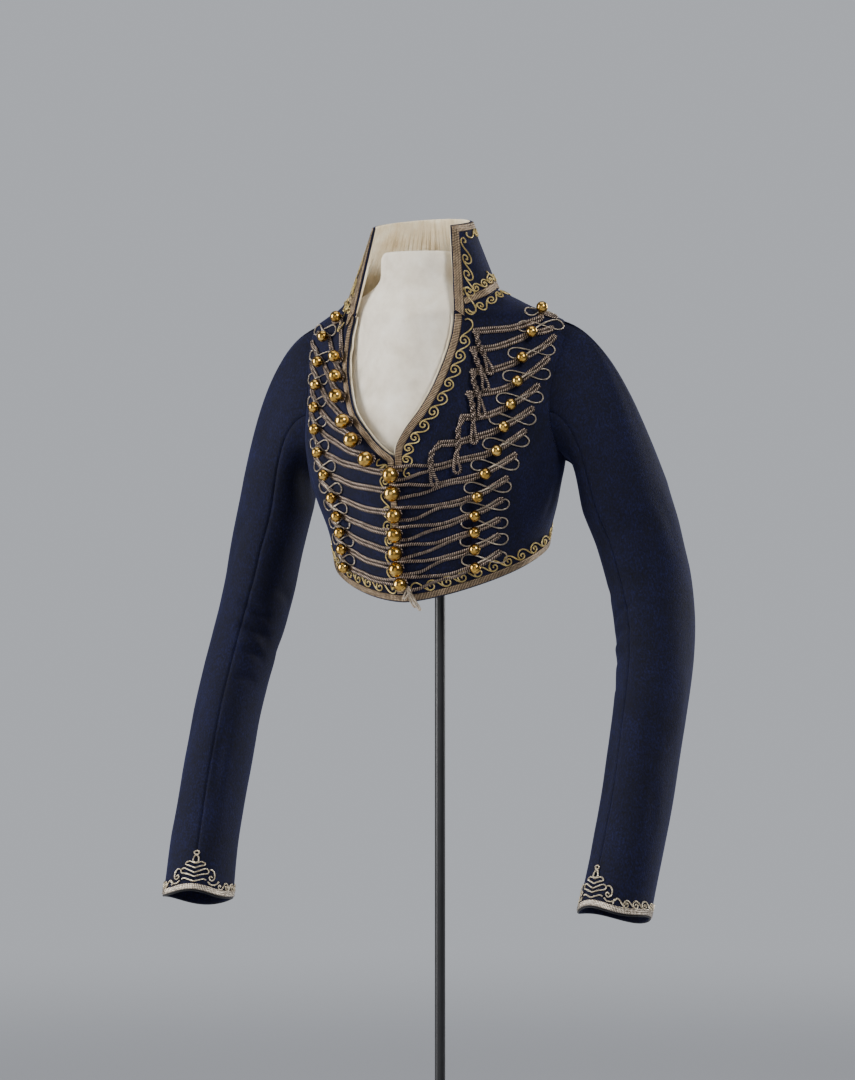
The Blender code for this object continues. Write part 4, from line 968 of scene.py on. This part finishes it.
def frog_cord(mesh, number, side):
    """One doubled cord: it leaves the ball or the loop's root, runs along the bar, turns at the finger's
    tip and comes back. Near a buttoned ball its two runs part and pass round it."""
    surface = body_face if side == "left" else mirrored_body
    sign = 1.0 if side == "left" else -1.0
    path, outer, tip = frog_centre(number, side)
    line = surface(path[:, 0], path[:, 1])
    length = line_length(line)[-1]
    ball_at = length - np.linalg.norm(surface(*tip) - surface(*outer)) / MM
    s = np.arange(0.0, length - PAIR, 0.8)
    loose = side == "left" and number >= OPEN_ROWS
    spread = 4.6 if loose else (1.6 if side == "right" else 0.0)
    reach = 44.0 if loose else 16.0
    part = spread * (1.0 - smooth_step((s - 7.0) / reach))
    near = 1.0 - 0.55 * np.exp(-((s - ball_at) / 7.0) ** 2)
    wave = 0.55 * np.sin(s / 8.5 + 1.9 * number) * smooth_step(s / 20.0) * smooth_step((ball_at - s) / 20.0)
    upper = (PAIR + part) * near + wave
    lower = -(PAIR + part * (1.25 if loose else 1.0)) * near + wave * (1.9 if loose else 0.8)
    turn = np.linspace(0.5 * math.pi, -0.5 * math.pi, 9)[1:-1]
    end_round = np.stack([length - PAIR + PAIR * np.cos(turn), PAIR * np.sin(turn) + wave[-1]], axis=-1)
    first = 0.5 * (upper[0] - lower[0])
    close = np.linspace(-0.5 * math.pi, 0.5 * math.pi, 11)
    start_round = np.stack([-first * np.cos(close), first * np.sin(close) + 0.5 * (upper[0] + lower[0])], axis=-1)
    flat = np.concatenate([start_round, np.stack([s, upper], axis=-1)[1:], end_round,
                           np.stack([s, lower], axis=-1)[::-1][:-1]])
    flat = even(flat, 0.75)
    a, b = follow(surface, path, flat[:, 0], flat[:, 1] * sign)
    over = 1.0 if (side == "right" or number >= OPEN_ROWS) else 0.0
    lift = CORD_LIFT - 0.35 + 2.2 * over * (1.0 - smooth_step((flat[:, 0] - 9.0) / 8.0))
    if side == "right":
        a = -a
    cord(mesh, body_face, a, b, CORD_WIDE, CORD_TALL, lift, PLAIT, 8, 0.34)


def finger_eight(mesh, number, side):
    """A thin cord in a lying figure of eight, which crosses over the finger just above each outer ball. It is
    drawn flat in the plane that touches the cloth at the ball, and each point is then moved on the cloth, by
    the slopes there, until it lies under its place in the drawing. The top one is shorter, for the shoulder."""
    surface = body_face if side == "left" else mirrored_body
    path, outer, tip = frog_centre(number, side)
    t = np.linspace(0.0, 2.0 * math.pi, 72)
    tilt = math.radians(9.0 if number == 2 else 2.0) + 0.05 * math.sin(2.3 * number)
    long_half = 27.5 + 1.4 * math.sin(3.1 * number) if number else 21.0
    x = long_half * np.sin(t) * (1.0 - 0.12 * np.cos(t) ** 2)
    y = 6.2 * np.sin(2.0 * t) * (0.82 + 0.25 * np.abs(np.sin(t)))
    centre = np.array([13.0, 9.5]) if number else np.array([3.5, 3.0])
    u = centre[0] + x * math.cos(tilt) - y * math.sin(tilt)
    v = centre[1] + x * math.sin(tilt) + y * math.cos(tilt)
    a, b = np.full(len(t), outer[0]), np.full(len(t), outer[1])
    along, up = slopes(surface, a, b)
    level = unit(along)
    rise = unit(np.cross(np.cross(along, up), level))
    place = surface(a, b) + (level * u[:, None] + rise * v[:, None]) * MM
    for _ in range(5):
        da, db = solve(*slopes(surface, a, b), place - surface(a, b))
        a, b = a + da, np.minimum(b + db, 1322.0)
    lift = 0.5 + 2.1 * np.exp(-(x / 8.0) ** 2) + 0.7 * np.exp(-(x / 8.0) ** 2) * np.sign(np.cos(t))
    if side == "right":
        a = -a
    cord(mesh, body_face, a, b, 1.6, 1.6, lift, 2.2, 6, 0.16)


def ball_grid(centre, radius, out, spin):
    """A ball button: a sphere a little flattened towards its shank, with the fine rib of the join between
    its two stamped halves."""
    lat = np.concatenate([np.linspace(-0.5 * math.pi, -0.08, 11), [-0.04, 0.0, 0.04],
                          np.linspace(0.08, 0.5 * math.pi, 12)])[:, None]
    lon = np.linspace(0.0, 2.0 * math.pi, 28, endpoint=False)[None, :] + spin
    rib = 0.012 * np.exp(-(lat / 0.03) ** 2)
    across = np.cos(lat) * (1.0 + rib)
    tall = np.sin(lat) * np.where(lat < 0, 0.94, 1.0)
    e1 = unit(np.cross(np.array([0.0, 0.0, 1.0]), out))
    e2 = np.cross(out, e1)
    grid = (e1 * (across * np.cos(lon))[..., None] + e2 * (across * np.sin(lon))[..., None]
            + out * (tall + 0.0 * lon)[..., None])
    return centre + grid * radius * MM


def shank_grid(centre, radius, out, drop):
    """The shank: a short tube from the ball down to the cloth."""
    e1 = unit(np.cross(np.array([0.0, 0.0, 1.0]), out))
    e2 = np.cross(out, e1)
    lon = np.linspace(0.0, 2.0 * math.pi, 12, endpoint=False)[None, :]
    rows = np.array([(1.7, -drop), (1.5, -drop * 0.6), (1.5, -radius * 0.97), (2.6, -radius * 0.90)])
    grid = (e1 * (rows[:, :1] * np.cos(lon))[..., None] + e2 * (rows[:, :1] * np.sin(lon))[..., None]
            + out * (rows[:, 1:] + 0.0 * lon)[..., None])
    return centre + grid * MM


def add_ball(mesh, angle, height, rise, radius, spin):
    """A ball button and its shank at an angle and height on the body, so far out from the cloth."""
    out = normal_of(body_point, angle, height)
    centre = body_point(angle, height) + out * (rise * MM)
    mesh.add(ball_grid(centre, radius, out, spin), around=True, ends=True)
    mesh.add(shank_grid(centre, radius, out, rise - 0.6), around=True, ends=True)


def frogging():
    """All the doubled cords, figures of eight and ball buttons."""
    for side in ("left", "right"):
        cords, eights, balls = Mesh(), Mesh(), Mesh()
        names = ["frog_%s_%02d" % (side, n + 1) for n in range(len(FROGS))]
        for number in range(len(FROGS)):
            frog_cord(cords, number, side)
            if number > 0 or side == "left":
                finger_eight(eights, number, side)
            outer = frog_centre(number, side)[1]
            at = outer[0] if side == "left" else -outer[0]
            extra = 0.3 if number < 2 else 0.0
            add_ball(balls, at, outer[1], CORD_LIFT + extra + CORD_MIDDLE + OUTER_BALL - 1.0, OUTER_BALL,
                     0.7 * number)
        cords.make("frog_cords_" + side, SILVER_GILT, "braid", names)
        eights.make("finger_loops_" + side, THIN_CORD, "braid", names)
        balls.make("outer_balls_" + side, GILT, "gilt", names)
    balls = Mesh()
    for number, row in enumerate(FROGS):
        radius = CENTRE_BALLS[number]
        add_ball(balls, row[4], row[5], OVER_BRAID_LIFT + CORD_MIDDLE + SOLID_GAP + radius, radius, 1.1 * number)
    balls.make("centre_balls", GILT, "gilt", ["centre_ball_%02d" % (n + 1) for n in range(len(FROGS))])


def back_seams():
    """The two curved seams of the back, from the armholes to near the middle of the hem: narrow pressed
    ridges of the same cloth. Their angle at each height is listed."""
    heights = np.linspace(1078.0, 1252.0, 90)
    angle = np.interp(heights, (1078.0, 1110.0, 1150.0, 1190.0, 1220.0, 1240.0, 1252.0),
                      (168.0, 166.0, 161.0, 153.0, 143.5, 134.0, 126.5))
    line = even(np.stack([angle, heights], axis=-1)[::8], 1.0)
    mesh = Mesh()
    for a in (line[:, 0], 360.0 - line[:, 0]):
        cord(mesh, body_face, a, np.maximum(line[:, 1], hem_height(a) + 9.0), 2.4, 0.8, -0.25)
    mesh.make("back_seams", CLOTH, "broadcloth")


edgings()
cuff_edging()
back_seams()
frogging()


# Scroll cord

# One unit of the running scroll, as shares of its pitch and of its height. It starts at the near side of
# one eye, rounds that eye on the far side, crosses over and ends as a hook inside the next eye.
SCROLL = np.array([
    (-0.21, 0.17), (-0.28, 0.36), (-0.26, 0.62), (-0.15, 0.86), (0.02, 0.98), (0.20, 0.92),
    (0.37, 0.73), (0.50, 0.50), (0.63, 0.27), (0.80, 0.08), (0.98, 0.02), (1.14, 0.12), (1.20, 0.34),
    (1.14, 0.56), (1.01, 0.60), (0.93, 0.47), (0.98, 0.36),
])
SCROLL_CORD = 1.6


def scroll_run(mesh, surface, path, start, stop, pitch, low, tall, flip=1.0, cord_wide=SCROLL_CORD, lift=0.15):
    """A chain of scrolls along a path on a surface, from one distance to another. Low is how far beside
    the path it starts. Every unit is stretched a little so that a whole number of them fits, and each is
    a few hundredths larger or smaller than the last, as hand-laid cord is."""
    line = even(path, 0.6)
    count = max(int(round((stop - start) / pitch)), 1)
    pitch = (stop - start) / count
    unit_line = even(SCROLL * (pitch, tall), 0.7)
    for n in range(count):
        swell = 1.0 + 0.05 * math.sin(2.7 * n + 0.6)
        s = start + pitch * (n + 0.02 * math.sin(1.9 * n)) + unit_line[:, 0]
        w = (low + unit_line[:, 1] * swell) * flip
        a, b = follow(surface, line, s, w, 22)
        way = np.linspace(0.0, 1.0, len(s))
        hook = smooth_step((way - 0.90) / 0.08) + smooth_step((0.10 - way) / 0.08)
        cord(mesh, surface, a, b, cord_wide, cord_wide, lift + 0.25 * hook, 1.9, 6, 0.20)


def run_of(surface, path):
    """How long a path is on a surface, in millimetres."""
    line = even(path, 0.6)
    return line_length(surface(line[:, 0], line[:, 1]))[-1]


def scrolls():
    """Gold scrolls: beside the neckline and the closed edge, above the hem, and all round the collar."""
    mesh = Mesh()
    left = front_edge_path(1, 1122.0, 1302.0)[::-1]
    scroll_run(mesh, body_face, left, 6.5, run_of(body_face, left) - 3.0, 17.2, 10.0, 10.6)
    right_front = front_edge_path(2, 996.0, 1150.0)[::-1]
    scroll_run(mesh, body_face, right_front, 4.0, run_of(body_face, right_front) - 4.0, 17.2, 10.0, 10.0, -1.0)
    mesh.make("scroll_fronts", GOLD_CORD, "braid")
    mesh = Mesh()
    angle = np.linspace(CLOSING + 0.6, 360.0 + CLOSING - 0.6, 200)
    hem = np.stack([angle, hem_height(angle)], axis=-1)
    scroll_run(mesh, body_face, hem, 14.0, run_of(body_face, hem) - 14.0, 18.6, 9.2, 11.4)
    mesh.make("scroll_hem", GOLD_CORD, "braid")
    mesh = Mesh()
    start = smooth_read(NECKLINE, 1, COLLAR_START) + 0.3
    end = 360.0 + smooth_read(NECKLINE, 2, COLLAR_START) - 0.3
    round_it = np.linspace(start, end, 200)
    top = np.stack([round_it, np.full(200, 1.0)], axis=-1)
    scroll_run(mesh, collar_face, top, 20.0, run_of(collar_face, top) - 20.0, 15.0, 9.6, 8.6, -1.0)
    base = np.stack([round_it, np.full(200, 0.0)], axis=-1)
    scroll_run(mesh, collar_face, base, 21.0, run_of(collar_face, base) - 21.0, 13.6, 9.4, 8.6)
    for at, flip in ((start, -1.0), (end, 1.0)):
        front = np.stack([np.full(60, at), np.linspace(0.0, 1.0, 60)], axis=-1)
        scroll_run(mesh, collar_face, front, 14.0, run_of(collar_face, front) - 15.0, 15.5, 9.8, 8.8, flip)
    mesh.make("scroll_collar", GOLD_CORD, "braid")
    mesh = Mesh()
    height = np.linspace(1309.0, 1333.6, 40)
    left_part = np.stack([smooth_read(NECKLINE, 1, height), height], axis=-1)
    back_angle = np.linspace(90.0, 270.0, 60)
    back_part = np.stack([back_angle, np.full(60, 1334.2)], axis=-1)
    right_part = np.stack([360.0 + smooth_read(NECKLINE, 2, height), height], axis=-1)[::-1]
    seam = np.concatenate([left_part, back_part[1:-1], right_part])
    scroll_run(mesh, body_face, seam, 15.0, run_of(body_face, seam) - 15.0, 14.5, 2.6, 9.4, -1.0)
    mesh.make("scroll_neck_seam", GOLD_CORD, "braid")


# Hanging loops: the line of each open row's loop, as angles and heights on the body, from its root down

LOOP_LINES = (
    ((39.5, 1285.5), (40.0, 1271.5), (42.0, 1258.0), (44.0, 1243.0), (44.5, 1235.0)),
    ((38.0, 1264.5), (39.0, 1253.0), (40.5, 1241.0), (42.0, 1228.5), (42.5, 1217.0)),
    ((38.0, 1239.5), (38.0, 1225.5), (39.5, 1213.5), (40.5, 1200.5), (41.0, 1187.0)),
    ((36.0, 1214.5), (37.0, 1202.5), (37.5, 1191.0), (37.5, 1176.5), (38.0, 1158.5)),
    ((33.5, 1188.0), (31.5, 1173.5), (31.5, 1158.5), (30.5, 1142.0), (31.0, 1126.0)),
    ((24.0, 1158.5), (20.5, 1149.5), (19.5, 1138.5), (20.0, 1125.0), (21.5, 1111.0)),
)
HANG_WIDE = 3.3
EYE_OPEN = 1.9


def hanging_loop(number):
    """A button loop that hangs unfastened: one cord from the bar's end, down, round a small eye and back
    up, its two runs side by side and twisted over each other. It lies on the cloth and on the bars that
    it crosses. The twist is a half turn every 15 mm, as a cosine across the cloth and a sine out of it."""
    centre = even(np.array(LOOP_LINES[number]), 0.6)
    length = line_length(body_face(centre[:, 0], centre[:, 1]))[-1]
    tip_radius = 0.5 * HANG_WIDE + EYE_OPEN
    s = np.arange(0.0, length - tip_radius, 0.7)
    grow = smooth_step((s - (length - 16.0)) / 11.0)
    half_turns = max(2, int(round(length / 15.0)))
    phase = math.pi * half_turns * smooth_step(s / max(length - 14.0, 1.0))
    reach = 0.5 * HANG_WIDE + EYE_OPEN * grow
    w_down, up_down = reach * np.cos(phase), 0.62 * HANG_WIDE * np.sin(phase) * (1.0 - grow)
    sign = np.cos(phase[-1])
    bow = np.linspace(0.5 * math.pi, -0.5 * math.pi, 13)[1:-1]
    tip = np.stack([s[-1] + tip_radius * np.cos(bow), sign * reach[-1] * np.sin(bow), 0.0 * bow], axis=-1)
    line = np.concatenate([np.stack([s, w_down, up_down], axis=-1), tip,
                           np.stack([s, -w_down, -up_down], axis=-1)[::-1]])
    line = even(line, 0.75)
    a, b = follow(body_face, centre, line[:, 0], line[:, 1])
    rest = 1.4 + 2.0 * smooth_step(line[:, 0] / 6.0)
    lift = rest + 0.62 * HANG_WIDE + line[:, 2] - 0.6 * smooth_step((line[:, 0] - length + 12.0) / 10.0)
    mesh = Mesh()
    path = cord(mesh, body_face, a, b, HANG_WIDE, 0.56 * HANG_WIDE, lift, 2.8, 8, 0.36)
    thing = mesh.make("hanging_loop_%02d" % (number + 1), SILVER_GILT, "braid", ["frog_left_%02d" % (number + 1)])
    return thing, path


def hanging_loops():
    """The six unfastened loops, each a cord that ends where it began, on its bar."""
    for number in range(OPEN_ROWS):
        thing, path = hanging_loop(number)


def hem_loops():
    """A short tab of silver cord at the foot of the closed edge: three small loops sewn on together, which
    hang over the hem. Each is a narrow drop shape, drawn beside a line that fans out from the others."""
    mesh = Mesh()
    t = np.linspace(0.0, 2.0 * math.pi, 40)
    for number, (lean, long, wide) in enumerate(((-6.0, 13.0, 2.4), (7.0, 22.0, 2.6), (14.0, 26.0, 2.0))):
        down = 0.5 * long * (1.0 - np.cos(t))
        across = wide * np.sin(t) * np.sqrt(0.25 + 0.75 * down / long) + lean * (down / long) ** 1.3
        a = 5.0 + across / 2.1
        b = 999.0 - down
        lift = 3.0 + 0.9 * number + 3.0 * smooth_step(down / 24.0)
        cord(mesh, body_face, a, np.maximum(b, 974.0), 2.3, 2.3, lift, 1.9, 6, 0.2)
    mesh.make("hem_loops", THIN_CORD, "braid")


# Cuff ornament

SEAM_AT = 360.0 - FOREARM_SEAM
DEGREE_MM = 0.712


def on_cuff(points):
    """Coordinates on the cuff of a shape drawn in millimetres about the forearm seam."""
    return SEAM_AT + points[:, 0] / DEGREE_MM, points[:, 1]


def cuff_line(mesh, points, closed=False, lift=0.2, wide=1.7):
    """A cord on the cuff through a few points drawn in millimetres."""
    line = even(points, 0.7, closed)
    a, b = on_cuff(line)
    cord(mesh, cuff_out, a, b, wide, wide, lift, 1.9, 6, 0.18)


def cuff_ornaments():
    """On each cuff a small tree of nested chevrons with a ring and an oval over it, curls at its foot, and
    a scroll that runs on round the cuff."""
    mesh = Mesh()
    t = np.linspace(0.0, 2.0 * math.pi, 10, endpoint=False)
    cuff_line(mesh, np.stack([2.5 * np.sin(t), 46.5 + 2.5 * np.cos(t)], axis=-1), True)
    cuff_line(mesh, np.stack([3.0 * np.sin(t) * (1.0 - 0.25 * np.cos(t)), 37.8 + 5.6 * np.cos(t)], axis=-1), True)
    pairs = ((31.0, 6.5, 26.3, 10.5), (21.2, 12.0, 16.4, 14.5))
    for high, high_out, low, low_out in pairs:
        for flip in (-1.0, 1.0):
            points = np.array([(0.0, high), (high_out * 0.5, high + high_out * 0.24), (high_out, high + high_out * 0.5),
                               (high_out + 3.4, high + high_out * 0.5 - 1.5), (low_out, low + low_out * 0.42),
                               (low_out * 0.5, low + low_out * 0.22), (0.0, low)])
            cuff_line(mesh, points * (flip, 1.0))
    for flip in (-1.0, 1.0):
        foot = np.array([(0.0, 10.4), (5.5, 12.6), (10.5, 14.9), (13.6, 14.2)])
        cuff_line(mesh, foot * (flip, 1.0))
        curl = np.array([(16.3, 26.8), (19.5, 27.4), (22.6, 24.0), (22.6, 18.0), (19.4, 15.2), (16.9, 17.6),
                         (18.4, 20.3), (20.2, 18.8)])
        cuff_line(mesh, curl * (flip, 1.0), lift=0.9)
        tail = np.array([(15.6, 13.0), (20.0, 10.4), (26.0, 12.3), (29.5, 17.0)])
        cuff_line(mesh, tail * (flip, 1.0), lift=0.2)
    turn = np.linspace(SEAM_AT + 38.0, SEAM_AT + 322.0, 120)
    path = np.stack([turn, np.full(120, 0.0)], axis=-1)
    scroll_run(mesh, cuff_out, path, 2.0, run_of(cuff_out, path) - 6.0, 13.5, 8.2, 8.6, 1.0, 1.7)
    both_sides(mesh, "cuff_ornament", CUFF_CORD, "braid")


scrolls()
hanging_loops()
hem_loops()
cuff_ornaments()


# Stand

NECK_ROOT, NECK_STRAIGHT = 1324.0, 1352.0


def dress_form():
    """The limbless form: the body's rings drawn in under the cloth. From the neck's root each ring is a
    blend, by the sine of its rise, of the last body ring and the neck's oval. Near the root the rings are
    evened out, each towards the mean of its neighbours."""
    angle = np.linspace(0.0, 360.0, 144, endpoint=False)[None, :]
    height = np.linspace(1090.0, NECK_ROOT, 96)[:, None]
    closeness = np.clip((height - 1200.0) / 95.0, 0.0, 1.0)
    clear = 9.4 - 6.0 * closeness + 4.0 * np.clip(np.cos(np.radians(angle)) * 1.6, 0.0, 1.0)
    clear = clear + 2.0 * np.exp(-((height - 1290.0) / 12.0) ** 2) * np.sin(np.radians(angle)) ** 8
    body = body_point(angle, height) - normal_of(body_point, angle, height) * clear[..., None] * MM
    body[0, :, 2] = 1090.0 * MM
    turn = np.radians(angle)
    share = np.linspace(0.0, 1.0, 22)[1:, None]
    blend = np.sin(0.5 * math.pi * share)
    oval = np.stack([49.0 * np.sin(turn), -47.0 - 41.0 * np.cos(turn), 0.0 * turn], axis=-1) * MM
    root = body[-1:] * (1.0, 1.0, 0.0)
    rise = body[-1:, :, 2] + (NECK_STRAIGHT * MM - body[-1:, :, 2]) * share
    neck = root * (1.0 - blend)[..., None] + oval * blend[..., None]
    neck = neck + rise[..., None] * (0.0, 0.0, 1.0)
    level = np.array([1360.0, 1367.0, 1372.0, 1375.5, 1377.5, 1378.0])[:, None]
    grow = np.array([1.0, 0.995, 0.98, 0.95, 0.91, 0.85])[:, None]
    top = np.stack([49.0 * grow * np.sin(turn), -47.0 - 41.0 * grow * np.cos(turn), level + 0.0 * turn], axis=-1) * MM
    grid = np.concatenate([body, neck, top])
    near = np.exp(-((np.arange(len(grid)) - len(body)) / 6.0) ** 2)[1:-1, None, None]
    for _ in range(60):
        grid[1:-1] += 0.25 * near * (grid[2:] - 2.0 * grid[1:-1] + grid[:-2])
    mesh = Mesh()
    mesh.add(grid, around=True, ends=True)
    return mesh.make("form_torso", JERSEY, "form", ["dress_form"])


def lathe(name, profile, slot, replaced, sides=96):
    """A profile of radii and heights turned round the stand's axis."""
    profile = np.asarray(profile, float)
    turn = np.linspace(0.0, 2 * math.pi, sides, endpoint=False)[None, :]
    grid = np.stack([profile[:, :1] * np.sin(turn), -profile[:, :1] * np.cos(turn),
                     profile[:, 1:] + 0.0 * turn], axis=-1) * MM
    mesh = Mesh()
    mesh.add(grid, around=True, ends=True)
    return mesh.make(name, ENAMEL, slot, replaced)


form = dress_form()
bend = np.linspace(0.0, math.pi / 2, 8)
lathe("stand_base", [(189.0, 0.0), (190.0, 0.8)] + [(188.5 + 1.5 * math.cos(t), 7.5 + 1.5 * math.sin(t)) for t in bend]
      + [(12.0, 9.0)] + [(7.5 + 4.5 * (1 - math.sin(t)), 9.0 + 4.5 * (1 - math.cos(t))) for t in bend]
      + [(6.2, 13.5)], "stand", ["base"])
lathe("stand_pole", [(6.0, 9.3)] + [(6.0, z) for z in (200.0, 500.0, 800.0, 1000.0, 1089.6)], "stand", ["pole"], 48)


# Camera, set and lights

def aim(thing, place, target):
    """Puts a light or the camera at a place, looking at a target."""
    way = (np.asarray(place, float) - np.asarray(target, float))
    thing.location = place
    thing.rotation_mode = "QUATERNION"
    thing.rotation_quaternion = Vector(way).to_track_quat("Z", "Y")


def area_light(name, place, target, size, power, colour=(1.0, 1.0, 1.0)):
    """A soft box."""
    data = bpy.data.lights.new(name, "AREA")
    data.shape = "RECTANGLE"
    data.size, data.size_y = size
    data.energy = power
    data.color = colour
    thing = bpy.data.objects.new(name, data)
    bpy.context.scene.collection.objects.link(thing)
    aim(thing, place, target)


def studio_floor():
    """A round pale floor at the stand's underside: rings of points about the stand's axis."""
    sides = 96
    turn = np.linspace(0.0, 2.0 * math.pi, sides, endpoint=False)
    rings = np.array([0.3, 0.8, 2.0, FLOOR_RADIUS])[:, None]
    grid = np.stack([rings * np.sin(turn), -rings * np.cos(turn), 0.0 * rings * turn], axis=-1)
    index = np.arange(len(rings) * sides).reshape(len(rings), sides)
    beside = np.roll(index, -1, axis=1)
    faces = np.stack([index[:-1], beside[:-1], beside[1:], index[1:]], axis=-1).reshape(-1, 4)
    mesh = bpy.data.meshes.new("studio_floor")
    mesh.from_pydata(grid.reshape(-1, 3).tolist(), [], faces.tolist() + [index[0, ::-1].tolist()])
    mesh.shade_smooth()
    mesh.materials.append(pale_paper())
    thing = bpy.data.objects.new("studio_floor", mesh)
    bpy.context.scene.collection.objects.link(thing)


studio_floor()
right = np.array([math.cos(CAMERA_TURN), math.sin(CAMERA_TURN), 0.0])
back = np.array([math.sin(CAMERA_TURN), -math.cos(CAMERA_TURN), 0.0])
centre = np.array([0.0, 0.0, CAMERA_HEIGHT]) + right * CAMERA_ASIDE
camera_data = bpy.data.cameras.new("camera")
camera_data.sensor_width = SENSOR
camera_data.lens = SENSOR * CAMERA_AWAY * PIXELS_PER_METRE / FRAME_HEIGHT_PX
camera = bpy.data.objects.new("camera", camera_data)
bpy.context.scene.collection.objects.link(camera)
aim(camera, centre + back * CAMERA_AWAY, centre)
bpy.context.scene.camera = camera

area_light("key", centre + back * 2.2 + right * 1.5 + (0, 0, 1.7), centre + (0, 0, 0.15), (0.9, 1.1), 70.0)
area_light("side_left", centre + back * 0.5 - right * 2.6 + (0, 0, 0.5), centre, (1.2, 2.2), 110.0)
area_light("fill", centre + back * 3.0 - right * 0.6 + (0, 0, 0.2), centre, (2.0, 2.0), 16.0)
area_light("rim_right", centre - back * 1.3 + right * 2.2 + (0, 0, 0.7), centre, (0.9, 1.8), 60.0)
area_light("top", centre + back * 0.2 + (0, 0, 2.6), centre, (2.0, 2.0), 26.0)

# The world lights the object softly and shows as a pale plain ground behind it
world = bpy.data.worlds.new("soft studio")
bpy.context.scene.world = world
world.use_nodes = True
ground = world.node_tree.nodes["Background"]
ground.inputs["Color"].default_value = (0.75, 0.78, 0.84, 1.0)
seen = node(world.node_tree, "ShaderNodeLightPath", out="Is Camera Ray")
level = node(world.node_tree, MATH, {"operation": "MULTIPLY_ADD", 1: GROUND_SEEN - GROUND_LIGHT, 2: GROUND_LIGHT},
             {0: seen})
world.node_tree.links.new(level, ground.inputs["Strength"])
